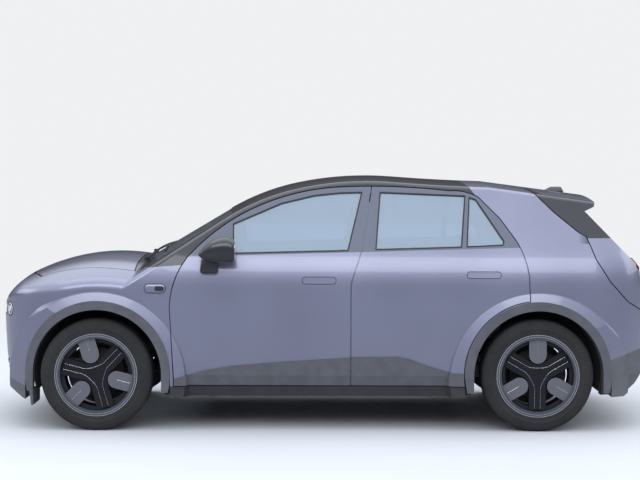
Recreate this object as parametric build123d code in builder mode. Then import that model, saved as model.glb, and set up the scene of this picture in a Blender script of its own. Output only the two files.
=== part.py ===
"""Compact five-door electric hatchback, built as separate panels, doors, glass, wheels and running gear.

Millimetres. The front points to -X, the left side to -Y and up is +Z. The origin is on the ground under the
middle of the car. The body is one master form: a section swept round the plan outline, met by a side
silhouette that is turned about an axis along the car, so that roof, screen and bonnet are crowned. Every
panel is cut from that form by an outline drawn in side view or in plan.
"""

from build123d import *
from math import asin, atan2, cos, degrees, radians, sin, sqrt, tan
import os

os.makedirs("parts", exist_ok=True)

# Overall sizes
LENGTH = 4004.0
FRONT_X = -LENGTH / 2
REAR_X = LENGTH / 2
BODY_HALF_WIDTH = 868.0
WHEELBASE = 2615.0
FRONT_AXLE_X = -1337.5
REAR_AXLE_X = FRONT_AXLE_X + WHEELBASE

# Body section: heights, and how far the side leans in at each
SIDE_BOW_RADIUS = 50000.0
SILL_Z = 201.0
WAIST_LOW_Z = 330.0
WIDEST_Z = 840.0
BELT_Z = 1085.0
BELT_INSET = 55.0
DOOR_SIDE_RADIUS = 6900.0
SECTION_TOP_Z = 1600.0
SECTION_LOW_Z = 150.0
SILL_TUCK = 60.0

# Plan corners: the nose and tail arcs stand a little past the length, which the silhouette then trims
NOSE_CORNER_RADIUS = 480.0
NOSE_CORNER_SETBACK = 60.0
TAIL_CORNER_RADIUS = 380.0
TAIL_CORNER_SETBACK = 25.0
END_TRIM = 13.0
NOSE_TIP_X = FRONT_X - END_TRIM
TAIL_TIP_X = REAR_X + END_TRIM

# Crown across the car: radius, height it is stated at, half width of the main arc and radius beside it
CROWN_RADIUS = 4578.0
CROWN_SIDE_RADIUS = 900.0
CROWN_Z = 950.0
LOWER_CROWN_HALF = 480.0
CABIN_CROWN_HALF = 730.0
LOWER_SHOULDER = 70.0
NOSE_END_X = -1010.0
CABIN_SHOULDER = 30.0

# Walls and gaps
SHUT_GAP = 6.0
SEAT_GAP = 0.3
DOOR_SKIN = 16.0
DOOR_STEP = 30.0
DOOR_INNER_GAP = 12.0
HINGE_HEIGHTS, HINGE_HEIGHT = (420.0, 720.0), 60.0
HINGE_REACH = (784.0, 838.0)
SIDE_WALL = 100.0
PILLAR_WALL = 48.0
PANEL_WALL = 32.0
ROOF_WALL = 45.0
BONNET_SKIN = 28.0
GLASS_SET_IN = 5.0
GLASS_THICKNESS = 5.0
CLADDING_PROUD = 7.0
CLADDING_INNER_Y = 600.0

# Shut lines in side view
DOOR_BOTTOM_Z = 267.0
FRONT_DOOR_X = -904.0
REAR_DOOR_X = 170.0
ROOF_SEAM_DROP = 42.0

# Bonnet and tailgate
BONNET_REAR_X = -1130.0
LOW_UNDER_BONNET = 780.0
BONNET_LIP_GAP = 5.0
COWL_X = BONNET_REAR_X + SHUT_GAP
TAILGATE_X = 1256.0

# Wheels, brakes and suspension
TYRE_RADIUS = 332.0
TYRE_WIDTH = 215.0
TYRE_FACE_Y = 872.0
RIM_RADIUS = 245.0
WHEEL_Y = TYRE_FACE_Y - TYRE_WIDTH / 2
FRONT_TURN = 16.0
STAR_Y, STAR_DEPTH, STAR_WIDTH = 816.0, 32.0, 100.0
STAR_REACH, STAR_NOTCH, STAR_HOLLOW = 216.0, 17.0, 58.0
PADDLE_Y, PADDLE_DEPTH, PADDLE_WIDTH, PADDLE_INNER = 826.0, 30.0, 103.0, 73.0
BAND_Y, BAND_DEPTH, BAND_INNER, BAND_OUTER = 810.0, 24.0, 191.0, 218.0
DISC_Y, DISC_RADIUS, DISC_THICKNESS = 700.0, 150.0, 24.0
HUB_RADIUS = 82.0
SPINDLE_RADIUS, SPINDLE_END_Y = 30.0, 765.0
CARRIER_Y, CARRIER_RADIUS = 640.0, 55.0
CALIPER_RADIUS = 183.0
KINGPIN_Y = 672.0
BALL_RADIUS = 22.0
SUBFRAME_Z, ARM_THICKNESS = 175.0, 24.7
LOWER_LUG_Z = SUBFRAME_Z + ARM_THICKNESS + SEAT_GAP
SPRING_X, FRONT_SPRING_Y = 75.0, 506.0
REAR_ARM_Y = 560.0
SHAFT_END_Y = 585.0

# Lamps
TAIL_LAMP_Y, TAIL_LAMP_RADIUS = 620.0, 50.0
TAIL_LAMP_HEIGHTS = (985.0, 880.0, 775.0)
HEADLAMP_Z, HEADLAMP_RADIUS = 702.0, 46.0
HEADLAMP_PLACES = (480.0, 590.0, 700.0)
HEADLAMP_DEPTH = 25.0
LAMP_PROUD = 12.0

# Air intake in the front bumper: half width, foot of each slot and slot height
INTAKE_HALF = 500.0
INTAKE_FEET, INTAKE_SLOT = (318.0, 362.0), 30.0

# Floor, and the side view of its sheet from the firewall over the seat heel to the boot
FLOOR_Z = 285.0
FLOOR_THICKNESS = 14.0
BOOT_FLOOR_Z = 560.0
BATTERY_BOTTOM_Z = 165.0
FLOOR_LINE = [
    (-885, 780), (-868, 520), (-800, FLOOR_Z), (700, FLOOR_Z), (800, 410), (985, 425), (1012, BOOT_FLOOR_Z),
    (1838, BOOT_FLOOR_Z),
]

# Cabin fittings
SEAT_Y = 370.0
FLOOR_TOP_Z = FLOOR_Z + FLOOR_THICKNESS / 2
BENCH_FOOT_Z = FLOOR_TOP_Z + SEAT_GAP
STEERING_X, STEERING_Z, STEERING_TILT = -455.0, 930.0, 26.0
COLUMN_LENGTH = 90.0

# Wheel arches
ARCH_Z = 335.0
FRONT_ARCH_X = -1334.0
REAR_ARCH_X = 1282.0
ARCH_RADIUS = 384.0
ARCH_TRIM_RADIUS = 436.0
FLARE_RADIUS = 522.0
FLARE_Z = 298.0
FLARE_Y = 882.0
FLARE_FALL = 20.0
FLARE_EDGE = 30.0
FLARE_FRONT_X = -1490.0
FLARE_FRONT_RADIUS = 480.0
FLARE_REAR_X = 1545.0
FLARE_REAR_RADIUS = 420.0
LINER = 4.0
WELL_INNER_Y = 452.0
LINER_WALL_Z = 480.0
LINER_FOOT_Z = 230.0
ARCH_TRIM_INNER_Y = 770.0


def keep(part, name):
    """Labels a finished piece and writes it to its own file."""
    part.label = name
    export_step(part, f"parts/{name}.step")


def both_sides(part):
    """The piece and its mirror image on the other side of the car."""
    with BuildPart() as pair:
        add(part)
        mirror(part, about=Plane.XZ)
    return pair.part


def write_pair(part, left_name, right_name):
    """Writes a left piece and its mirror image as two files."""
    keep(part, left_name)
    with BuildPart() as right:
        mirror(part, about=Plane.XZ)
    keep(right.part, right_name)


# Master form

def plan_corner(tip_x, radius, setback):
    """Centre of a plan corner, and the radius of the nose or tail arc that is tangent to it."""
    side_centre_y = SIDE_BOW_RADIUS - BODY_HALF_WIDTH
    inward = 1 if tip_x < 0 else -1
    centre_x = tip_x + inward * (radius + setback)
    centre_y = side_centre_y - sqrt((SIDE_BOW_RADIUS - radius) ** 2 - centre_x**2)
    reach = radius + setback
    end_radius = (reach**2 + centre_y**2 - radius**2) / (2 * setback)
    return centre_x, centre_y, end_radius


def body_section(plan_radius, depth, inset, top_z):
    """Closed section between the body side, at the left, and a line deep inside it. Local x is the radius."""
    side = plan_radius - inset
    shoulder = ((BELT_Z - WIDEST_Z) ** 2 + BELT_INSET**2) / (2 * BELT_INSET)
    lean = asin((BELT_Z - WIDEST_Z) / shoulder)

    def door_inset(z):
        return DOOR_SIDE_RADIUS - sqrt(DOOR_SIDE_RADIUS**2 - (WIDEST_Z - z) ** 2)

    waist_inset = door_inset(WAIST_LOW_Z)
    middle_z = (WIDEST_Z + WAIST_LOW_Z) / 2
    top_inset = BELT_INSET + (top_z - BELT_Z) * tan(lean)
    with BuildLine() as section:
        ThreePointArc(
            (side - waist_inset, WAIST_LOW_Z), (side - door_inset(middle_z), middle_z), (side, WIDEST_Z)
        )
        ThreePointArc(
            (side, WIDEST_Z),
            (side - shoulder * (1 - cos(lean / 2)), WIDEST_Z + shoulder * sin(lean / 2)),
            (side - BELT_INSET, BELT_Z),
        )
        Polyline(
            (side - BELT_INSET, BELT_Z),
            (side - top_inset, top_z),
            (plan_radius - depth, top_z),
            (plan_radius - depth, SECTION_LOW_Z),
            (side - waist_inset - SILL_TUCK, SECTION_LOW_Z),
            (side - waist_inset, WAIST_LOW_Z),
        )
    return section.line


def swept_side(centre, plan_radius, depth, start, arc, inset, top_z):
    """The body section turned about an upright axis from the start angle through arc degrees."""
    direction = (cos(radians(start)), sin(radians(start)), 0)
    plane = Plane(origin=(*centre, 0), x_dir=direction, z_dir=(direction[1], -direction[0], 0))
    with BuildPart() as wedge:
        with BuildSketch(plane):
            with BuildLine():
                add(body_section(plan_radius, depth, inset, top_z))
            make_face()
        revolve(axis=Axis((*centre, 0), (0, 0, 1)), revolution_arc=arc)
    return wedge.part


def plan_form(inset=0.0, top_z=SECTION_TOP_Z):
    """Left half of the body as its plan outline and section give it, taken in by inset."""
    side_y = SIDE_BOW_RADIUS - BODY_HALF_WIDTH
    nose_x, nose_y, nose_radius = plan_corner(NOSE_TIP_X, NOSE_CORNER_RADIUS, NOSE_CORNER_SETBACK)
    tail_x, tail_y, tail_radius = plan_corner(TAIL_TIP_X, TAIL_CORNER_RADIUS, TAIL_CORNER_SETBACK)
    nose_centre, tail_centre = NOSE_TIP_X + nose_radius, TAIL_TIP_X - tail_radius
    side_start = degrees(atan2(nose_y - side_y, nose_x)) % 360
    side_end = degrees(atan2(tail_y - side_y, tail_x)) % 360
    nose_end = degrees(atan2(nose_y, nose_x - nose_centre)) % 360
    tail_start = degrees(atan2(tail_y, tail_x - tail_centre)) % 360
    depth = BODY_HALF_WIDTH + 2
    # centre, radius, depth, start angle, arc
    pieces = [
        ((0, side_y), SIDE_BOW_RADIUS, depth, side_start, side_end - side_start),
        ((nose_x, nose_y), NOSE_CORNER_RADIUS, NOSE_CORNER_RADIUS, nose_end, side_start - nose_end),
        ((nose_centre, 0), nose_radius, nose_radius * 0.8, 180, nose_end - 180),
        ((tail_x, tail_y), TAIL_CORNER_RADIUS, TAIL_CORNER_RADIUS, side_end, tail_start - side_end),
        ((tail_centre, 0), tail_radius, tail_radius * 0.3, tail_start, 360 - tail_start),
    ]
    with BuildPart() as form:
        for centre, radius, deep, start, arc in pieces:
            add(swept_side(centre, radius, deep, start, arc, inset, top_z))
        split(bisect_by=Plane.XZ, keep=Keep.TOP)
    return form.part


def lower_silhouette():
    """Nose, bonnet and tail in side view. The cabin's own silhouette stands on it."""
    with BuildLine() as outline:
        nose = TangentArc((FRONT_X, 450), (-1950, 750), tangent=(0, 1))
        lip = TangentArc(nose @ 1, (-1800, 915), tangent=nose % 1)
        bonnet = TangentArc(lip @ 1, (-1150, 1012), tangent=lip % 1)
        under_screen = TangentArc(bonnet @ 1, (-500, 1040), tangent=bonnet % 1)
        Polyline(
            under_screen @ 1, (1300, 1040), (1800, 1056), (1880, 1048), (1910, 1012), (1926, 860), (1990, 740)
        )
        tail = ThreePointArc((1990, 740), (REAR_X - 3, 660), (REAR_X, 560))
        Polyline(tail @ 1, (REAR_X, 120), (FRONT_X, 120), (FRONT_X, 450))
    return outline.line


def cabin_silhouette():
    """Windscreen, roof, spoiler and rear glass in side view."""
    with BuildLine() as outline:
        screen = Line((-1333.7, 860), (-596, 1300))
        brow = TangentArc(screen @ 1, (-150, 1474), tangent=screen % 1)
        roof_front = TangentArc(brow @ 1, (434, 1512), tangent=brow % 1)
        roof_rear = TangentArc(roof_front @ 1, (1008, 1483), tangent=roof_front % 1)
        spoiler = Line(roof_rear @ 1, (1640, 1400))
        Polyline(spoiler @ 1, (1632, 1376), (1575, 1352), (1885, 1041), (1885, 860), (-1333.7, 860))
    return outline.line


def crowned(silhouette, half_width, drop=0.0):
    """Left half of a silhouette turned about axes along the car, so that it falls away to the side."""
    tilt = asin(half_width / CROWN_RADIUS)
    axis_z = CROWN_Z - CROWN_RADIUS
    to_side_axis = CROWN_RADIUS - CROWN_SIDE_RADIUS
    side_axis = (0, -to_side_axis * sin(tilt), axis_z + to_side_axis * cos(tilt))
    plane = Plane(origin=(0, 0, axis_z), x_dir=(1, 0, 0), z_dir=(0, -cos(tilt), -sin(tilt)))
    with BuildPart() as form:
        for origin, arc in (((0, 0, axis_z), -degrees(tilt)), (side_axis, 70)):
            with BuildSketch(plane):
                with BuildLine():
                    with Locations((0, -axis_z - drop)):
                        add(silhouette)
                make_face()
            revolve(axis=Axis(origin, (1, 0, 0)), revolution_arc=arc)
    return form.part


def shoulder_edges(part, low_x, high_x):
    """The long edges where the crowned top meets the body side."""
    faces = part.faces()
    found = []
    for edge in part.edges():
        middle = edge.position_at(0.5)
        if not (low_x < middle.X < high_x and middle.Y < -550 and middle.Z > 830):
            continue
        sides = [face for face in faces if any(edge.is_same(other) for other in face.edges())]
        if len(sides) == 2 and 38 < sides[0].normal_at(middle).get_angle(sides[1].normal_at(middle)) < 75:
            found.append(edge)
    return found


def side_prism(outline, inner_y=-1.0, outer_y=1000.0):
    """A side-view outline extruded across the left half of the car."""
    with BuildPart() as prism:
        with BuildSketch(Plane.XZ.offset(inner_y)):
            add(outline)
        extrude(amount=outer_y - inner_y)
    return prism.part


def plan_prism(outline, low_z, high_z):
    """A plan outline extruded upwards."""
    with BuildPart() as prism:
        with BuildSketch(Plane.XY.offset(low_z)):
            add(outline)
        extrude(amount=high_z - low_z)
    return prism.part


def cross_prism(outline, low_x, high_x):
    """An outline of y and z, seen from behind, extruded along the car."""
    with BuildPart() as prism:
        with BuildSketch(Plane.YZ.offset(low_x)):
            add(outline)
        extrude(amount=high_x - low_x)
    return prism.part


def grown(outline, amount):
    """The outline moved out by amount, or in where it is negative, with sharp corners."""
    with BuildSketch() as result:
        add(outline)
        offset(amount=amount, kind=Kind.INTERSECTION)
    return result.sketch


def polygon(*points):
    """A closed outline through the points."""
    with BuildSketch() as result:
        with BuildLine():
            Polyline(*points, close=True)
        make_face()
    return result.sketch


def common(part, *others):
    """What the part shares with all the others."""
    with BuildPart() as result:
        add(part)
        for other in others:
            add(other, mode=Mode.INTERSECT)
    return result.part


def without(part, *others):
    """The part with all the others cut away."""
    with BuildPart() as result:
        add(part)
        for other in others:
            add(other, mode=Mode.SUBTRACT)
    return result.part


def joined(*parts):
    """The parts as one."""
    with BuildPart() as result:
        for part in parts:
            add(part)
    return result.part


def bumper_undercut():
    """What is cut away below the bumpers, where nose and tail curve in to the underside."""
    front_x, rear_x = FRONT_X - 100, REAR_X + 100
    with BuildSketch() as cut:
        with BuildLine():
            front = ThreePointArc((FRONT_X - 20, 440), (-1978, 330), (-1900, 250))
            Polyline(front @ 1, (-1790, 186), (-1730, 160), (-1730, 0), (front_x, 0), (front_x, 440), front @ 0)
        make_face()
        with BuildLine():
            rear = ThreePointArc((REAR_X + 10, 520), (1968, 370), (1890, 262))
            Polyline(rear @ 1, (1800, 205), (1640, 205), (1640, 0), (rear_x, 0), (rear_x, 520), rear @ 0)
        make_face()
        with Locations(((1640 - 1730) / 2, 0)):
            Rectangle(1640 + 1730, SILL_Z, align=(Align.CENTER, Align.MIN))
    return cut.sketch


def disc(arch_x, radius, centre_z=ARCH_Z):
    """A circle in side view."""
    with BuildSketch() as result:
        with Locations((arch_x, centre_z)):
            Circle(radius)
    return result.sketch


def wheel_opening(arch_x, radius):
    """Arch outline in side view, open to the ground."""
    with BuildSketch() as opening:
        with Locations((arch_x, ARCH_Z)):
            Circle(radius)
            Rectangle(2 * radius, ARCH_Z, align=(Align.CENTER, Align.MAX))
    return opening.sketch


def flare_plan(proud):
    """Plan outline that the arch flares fill: flat along the side and rounded into nose and tail."""
    side = FLARE_Y + proud

    def corner_point(centre_x, radius, angle):
        reach = abs(radius) + proud
        along = centre_x + (reach if radius > 0 else -reach) * sin(radians(angle))
        return along, reach - side - reach * cos(radians(angle))

    front = [corner_point(FLARE_FRONT_X, -FLARE_FRONT_RADIUS, angle) for angle in (0, 32, 64)]
    rear = [corner_point(FLARE_REAR_X, FLARE_REAR_RADIUS, angle) for angle in (64, 32, 0)]
    with BuildSketch() as outline:
        with BuildLine():
            ThreePointArc(*front)
            Polyline(front[2], (front[2][0], 0), (rear[0][0], 0), rear[0])
            ThreePointArc(*rear)
            Line(rear[2], front[0])
        make_face()
    return outline.sketch


def flare(arch_x, proud=0.0):
    """The raised band of body side round a wheel arch: a shallow cone about the axle line."""
    side = FLARE_Y + proud
    reach = FLARE_RADIUS + proud
    plane = Plane(origin=(arch_x, 0, FLARE_Z), x_dir=(1, 0, 0), z_dir=(0, 0, 1))
    with BuildPart() as band:
        with BuildSketch(plane):
            with BuildLine():
                Polyline(
                    (0, -600), (0, -side), (ARCH_TRIM_RADIUS, -side), (reach, FLARE_FALL - side),
                    (reach + FLARE_EDGE, FLARE_FALL + 2 * FLARE_EDGE - side), (reach + FLARE_EDGE, -600), close=True
                )
            make_face()
        revolve(axis=Axis((arch_x, 0, FLARE_Z), (0, 1, 0)))
        with BuildSketch(Plane.XY):
            add(flare_plan(proud))
        extrude(amount=1100, mode=Mode.INTERSECT)
    return band.part


PLAN = plan_form()
LOWER = common(PLAN, crowned(lower_silhouette(), LOWER_CROWN_HALF))
AHEAD = side_prism(polygon((-2100, 0), (NOSE_END_X, 0), (NOSE_END_X, 1200), (-2100, 1200)))
with BuildPart() as nose_form:
    add(common(LOWER, AHEAD))
    fillet(shoulder_edges(nose_form.part, -1850, NOSE_END_X), LOWER_SHOULDER)

with BuildPart() as cabin_form:
    add(PLAN)
    add(crowned(cabin_silhouette(), CABIN_CROWN_HALF), mode=Mode.INTERSECT)
    fillet(shoulder_edges(cabin_form.part, -1100, 1500), CABIN_SHOULDER)

BODY = without(
    joined(nose_form.part, without(LOWER, AHEAD), cabin_form.part, flare(FRONT_ARCH_X), flare(REAR_ARCH_X)),
    side_prism(bumper_undercut()),
)

# What is inside the walls
PANEL_INSIDE = common(plan_form(PANEL_WALL), crowned(lower_silhouette(), LOWER_CROWN_HALF, PANEL_WALL))
BEHIND_DOOR_SKIN = plan_form(DOOR_SKIN)
BEHIND_DOOR_SEAT = plan_form(DOOR_SKIN + SHUT_GAP)


def cabin_inside():
    """The hollow of cabin and boot: deep walls up to the belt, thin ones round the windows."""
    low = polygon((-1150, 80), (-1150, 900), (-1000, BELT_Z - 25), (1800, BELT_Z - 25), (1850, 1000), (1850, 80))
    high = polygon((-1000, BELT_Z - 25), (-1000, 1560), (1700, 1560), (1800, BELT_Z - 25))
    return joined(
        common(plan_form(SIDE_WALL, BELT_Z + 40), side_prism(low)),
        common(plan_form(PILLAR_WALL), crowned(cabin_silhouette(), CABIN_CROWN_HALF, ROOF_WALL), side_prism(high)),
    )


CABIN_INSIDE = cabin_inside()


# Shut lines

def door_top(drop=0.0):
    """Top line of both doors, from the belt at the windscreen pillar to the top of the rear pillar."""
    with BuildLine() as line:
        pillar = TangentArc((-801, 1027 - drop), (-375, 1335 - drop), tangent=(0.66, 0.75))
        brow = TangentArc(pillar @ 1, (106, 1446 - drop), tangent=pillar % 1)
        roof = TangentArc(brow @ 1, (761, 1425 - drop), tangent=brow % 1)
        ThreePointArc(roof @ 1, (870, 1415 - drop), (934, 1390 - drop))
    return line.line


def doors_outline():
    """Both doors together in side view, to the middle of the shut lines."""
    ring = ARCH_TRIM_RADIUS + SHUT_GAP - 1
    top_z = ARCH_Z + sqrt(ring**2 - (1230 - REAR_ARCH_X) ** 2)
    low_x = REAR_ARCH_X - sqrt(ring**2 - (DOOR_BOTTOM_Z - ARCH_Z) ** 2)
    middle = (REAR_ARCH_X - ring * cos(radians(40)), ARCH_Z + ring * sin(radians(40)))
    with BuildSketch() as outline:
        with BuildLine():
            add(door_top())
            Polyline((934, 1390), (1062, 1260), (1149, 1137))
            pillar = ThreePointArc((1149, 1137), (1203, 1020), (1226, 905))
            Line(pillar @ 1, (1230, top_z))
            arch = ThreePointArc((1230, top_z), middle, (low_x, DOOR_BOTTOM_Z))
            Polyline(arch @ 1, (FRONT_DOOR_X + 26, DOOR_BOTTOM_Z), (FRONT_DOOR_X + 26, 309), (FRONT_DOOR_X, 717))
            ThreePointArc((FRONT_DOOR_X, 717), (-878, 880), (-801, 1027))
        make_face()
    return outline.sketch


def behind_centre_pillar():
    """Everything behind the shut line between front and rear doors."""
    x = REAR_DOOR_X
    return polygon((x, 0), (x, 876), (x + 67, 1079), (x + 126, 1443), (x + 140, 1600), (2500, 1600), (2500, 0))


with BuildSketch() as front_door_sketch:
    add(doors_outline())
    add(behind_centre_pillar(), mode=Mode.SUBTRACT)
with BuildSketch() as rear_door_sketch:
    add(doors_outline())
    add(behind_centre_pillar(), mode=Mode.INTERSECT)
DOOR_OUTLINES = {"front": front_door_sketch.sketch, "rear": rear_door_sketch.sketch}

WINDOWS = {
    "front": [
        polygon((-525, 1055), (-529, 1223), (-244, 1345), (-49, 1392), (106, 1408), (234, 1412), (150, 1073)),
    ],
    "rear": [
        polygon((349, 1412), (855, 1392), (824, 1094), (320, 1079)),
        polygon((884, 1382), (920, 1370), (1078, 1126), (1072, 1106), (862, 1096)),
    ],
}

# Top line of the lower door cladding
CLADDING_TOP = {
    "front": polygon(
        (-1000, 200), (-1000, 300), (-878, 309), (-686, 360), (-546, 385), (-240, 411), (200, 440), (200, 200)
    ),
    "rear": polygon(
        (100, 200), (100, 440), (450, 443), (520, 428), (626, 390), (760, 347), (900, 345), (900, 200)
    ),
}


def door(side):
    """A door: a skin over a deeper body that is set in all round, with its windows cut."""
    outline = DOOR_OUTLINES[side]
    skin = without(common(BODY, side_prism(grown(outline, -SHUT_GAP / 2))), BEHIND_DOOR_SKIN)
    deep = without(common(BODY, side_prism(grown(outline, -SHUT_GAP / 2 - DOOR_STEP))), CABIN_INSIDE)
    return without(joined(skin, deep), *(side_prism(window) for window in WINDOWS[side]))


def door_hinges(side):
    """Blocks on the pillar that stand in the inner gap, just ahead of the door's deep front face."""
    outline = DOOR_OUTLINES[side]
    face = -SHUT_GAP / 2 - DOOR_STEP
    front_x = FRONT_DOOR_X if side == "front" else REAR_DOOR_X
    with BuildSketch() as bands:
        for z in HINGE_HEIGHTS:
            with Locations((front_x + 30, z)):
                Rectangle(100, HINGE_HEIGHT)
        add(grown(outline, face + DOOR_INNER_GAP), mode=Mode.INTERSECT)
        add(grown(outline, face + SEAT_GAP), mode=Mode.SUBTRACT)
    return side_prism(bands.sketch, *HINGE_REACH)


def door_opening(side):
    """What is cut from the body shell for a door: wide where the skin lies, narrower behind it."""
    outline = DOOR_OUTLINES[side]
    wide = without(side_prism(grown(outline, SHUT_GAP / 2)), BEHIND_DOOR_SEAT)
    deep = side_prism(grown(outline, DOOR_INNER_GAP - SHUT_GAP / 2 - DOOR_STEP))
    return joined(wide, without(deep, door_hinges(side)))


def door_glass(side):
    """The panes of one door, a little behind its surface."""
    panes = [side_prism(window) for window in WINDOWS[side]]
    sheet = without(plan_form(GLASS_SET_IN), plan_form(GLASS_SET_IN + GLASS_THICKNESS))
    return common(sheet, joined(*panes))


def door_trim(side):
    """The cladding along the foot of a door, standing proud of it."""
    outline = grown(DOOR_OUTLINES[side], -SHUT_GAP / 2)
    arch_x = FRONT_ARCH_X if side == "front" else REAR_ARCH_X
    outer = joined(plan_form(-CLADDING_PROUD), flare(arch_x, CLADDING_PROUD))
    return without(common(outer, side_prism(outline), side_prism(CLADDING_TOP[side], CLADDING_INNER_Y)), BODY)


for side in DOOR_OUTLINES:
    write_pair(door(side), f"{side}_door_left", f"{side}_door_right")
    write_pair(door_glass(side), f"{side}_door_glass_left", f"{side}_door_glass_right")
    write_pair(door_trim(side), f"{side}_door_trim_left", f"{side}_door_trim_right")

# Regions of the body shell

# Where nose and wing meet, from the bonnet down to the wheel arch
NOSE_SEAM = [(-1640, 1000), (-1636, 911), (-1588, 695)]
# Where quarter panel and rear bumper meet, from the tailgate down to the wheel arch
BUMPER_SEAM = [(1712, 884), (1545, 716)]
# Front edge of the tailgate in side view, from its hinge down
TAILGATE_LINE = [
    (TAILGATE_X, 1600), (TAILGATE_X, 1432), (1387, 1299), (1529, 1180), (1576, 1152), (1627, 1017), (1710, 887),
    (1824, 767), (1927, 708), (2100, 700),
]
TAILGATE_REGION = polygon(*TAILGATE_LINE, (2100, 1600))
SPOILER_REGION = polygon((1200, 1600), (1200, 1470), (1400, 1372), (1572, 1346), (1700, 1340), (1700, 1600))
NOSE_REGION = polygon((-2100, 1000), *NOSE_SEAM, (NOSE_SEAM[2][0], 100), (-2100, 100))
WING_REGION = polygon(*NOSE_SEAM, (NOSE_SEAM[2][0], 309), (-881, 309), (-700, 1100), (-1640, 1100))
REAR_BUMPER_REGION = polygon(*BUMPER_SEAM, (1560, 100), (2100, 100), (2100, 700), (1927, 708), (1824, 767))


def roof_region():
    """Side view of what the roof and the windscreen pillars take of the shell."""
    with BuildSketch() as region:
        with BuildLine():
            add(door_top(ROOF_SEAM_DROP))
            start, end = (-801, 1027 - ROOF_SEAM_DROP), (934, 1390 - ROOF_SEAM_DROP)
            Polyline(
                end, (965, 1415), (TAILGATE_X, 1382), (TAILGATE_X, 1600), (COWL_X, 1600), (COWL_X, 960), start
            )
        make_face()
    return region.sketch


def bonnet_plan():
    """Left half of the bonnet in plan."""
    with BuildSketch() as outline:
        with BuildLine():
            front = ThreePointArc((-1812, 0), (-1788, -330), (-1692, -640))
            Polyline(
                front @ 1, (BONNET_REAR_X - 130, -690), (BONNET_REAR_X, -690), (BONNET_REAR_X, 60), (-1812, 60),
                (-1812, 0),
            )
        make_face()
    return outline.sketch


def screen_plan():
    """Left half of the windscreen's opening in plan."""
    with BuildSketch() as outline:
        with BuildLine():
            base = ThreePointArc((-1066, 0), (-1043, -400), (-985, -748))
            Line(base @ 1, (-545, -640))
            head = ThreePointArc((-545, -640), (-568, -330), (-575, 0))
            Polyline(head @ 1, (-575, 60), (-1066, 60), (-1066, 0))
        make_face()
    return outline.sketch


with BuildSketch() as cowl_sketch:
    add(polygon((COWL_X, 60), (-900, 60), (-900, -748), (COWL_X, -748)))
    add(screen_plan(), mode=Mode.SUBTRACT)
    add(polygon((-985, 60), (-900, 60), (-900, -748), (-985, -748)), mode=Mode.SUBTRACT)

with BuildSketch() as bonnet_opening:
    with Locations((0, 0), (-BONNET_LIP_GAP, 0)):
        add(grown(bonnet_plan(), SHUT_GAP))
BONNET_SPACE = plan_prism(bonnet_opening.sketch, LOW_UNDER_BONNET, 1200)
SCREEN_SPACE = plan_prism(screen_plan(), 900, 1500)
UNDER_SCREEN = plan_prism(polygon((COWL_X, 60), (-700, 60), (-700, -748), (COWL_X, -748)), 100, 1500)
REAR_WINDOW_SPACE = cross_prism(polygon((60, 1112), (-590, 1104), (-530, 1322), (60, 1334)), 1500, 1950)
COWL_SPACE = plan_prism(cowl_sketch.sketch, 880, 1200)
TAILGATE_SPACE = side_prism(grown(TAILGATE_REGION, SHUT_GAP / 2))
ROOF_CENTRE = plan_prism(polygon((-600, 60), (-600, -590), (TAILGATE_X, -590), (TAILGATE_X, 60)), 1250, 1600)
ROOF_SPACE = joined(side_prism(roof_region()), ROOF_CENTRE)
OPENINGS = joined(door_opening("front"), door_opening("rear"))
FRONT_RING = side_prism(wheel_opening(FRONT_ARCH_X, ARCH_TRIM_RADIUS + SEAT_GAP))
REAR_RING = side_prism(wheel_opening(REAR_ARCH_X, ARCH_TRIM_RADIUS + SEAT_GAP))
FRONT_WELL = side_prism(wheel_opening(FRONT_ARCH_X, ARCH_RADIUS + LINER + SEAT_GAP))
REAR_WELL = side_prism(wheel_opening(REAR_ARCH_X, ARCH_RADIUS + LINER + SEAT_GAP))

SHELL = without(BODY, CABIN_INSIDE)
SKIN = without(BODY, PANEL_INSIDE)


def headlamp_rods(clearance=0.0):
    """Left row of three round headlamps as rods along the car."""
    with BuildPart() as rods:
        with BuildSketch(Plane.YZ.offset(FRONT_X - 50)):
            with Locations(*((-y, HEADLAMP_Z) for y in HEADLAMP_PLACES)):
                Circle(HEADLAMP_RADIUS + clearance)
        extrude(amount=400)
    return rods.part


def intake_slots():
    """Left half of the slots of the air intake."""
    with BuildPart() as slots:
        with BuildSketch(Plane.YZ.offset(FRONT_X - 50)):
            for foot in INTAKE_FEET:
                with Locations((0, foot + INTAKE_SLOT / 2)):
                    RectangleRounded(2 * INTAKE_HALF, INTAKE_SLOT, INTAKE_SLOT / 2 - 1)
        extrude(amount=250)
    return slots.part


def tail_lamps(clearance=0.0):
    """Left column of three round tail lamps, domed like the body and standing a little out of it."""
    with BuildPart() as lamps:
        with BuildSketch(Plane.YZ.offset(1860)):
            with Locations(*((-TAIL_LAMP_Y, z) for z in TAIL_LAMP_HEIGHTS)):
                Circle(TAIL_LAMP_RADIUS + clearance)
        extrude(amount=150)
        add(crowned(lower_silhouette(), LOWER_CROWN_HALF, -LAMP_PROUD), mode=Mode.INTERSECT)
        add(plan_form(-LAMP_PROUD), mode=Mode.INTERSECT)
    return lamps.part


bonnet_skin = common(
    without(BODY, crowned(lower_silhouette(), LOWER_CROWN_HALF, BONNET_SKIN)),
    plan_prism(bonnet_plan(), LOW_UNDER_BONNET, 1200),
)
keep(both_sides(bonnet_skin), "bonnet")

front_bumper = without(
    common(SKIN, side_prism(NOSE_REGION)), BONNET_SPACE, FRONT_RING, headlamp_rods(SEAT_GAP), intake_slots()
)
keep(both_sides(front_bumper), "front_bumper")

wing = without(
    common(SKIN, side_prism(WING_REGION)), BONNET_SPACE, FRONT_RING, ROOF_SPACE, UNDER_SCREEN,
    side_prism(grown(DOOR_OUTLINES["front"], SHUT_GAP / 2)),
)
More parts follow.
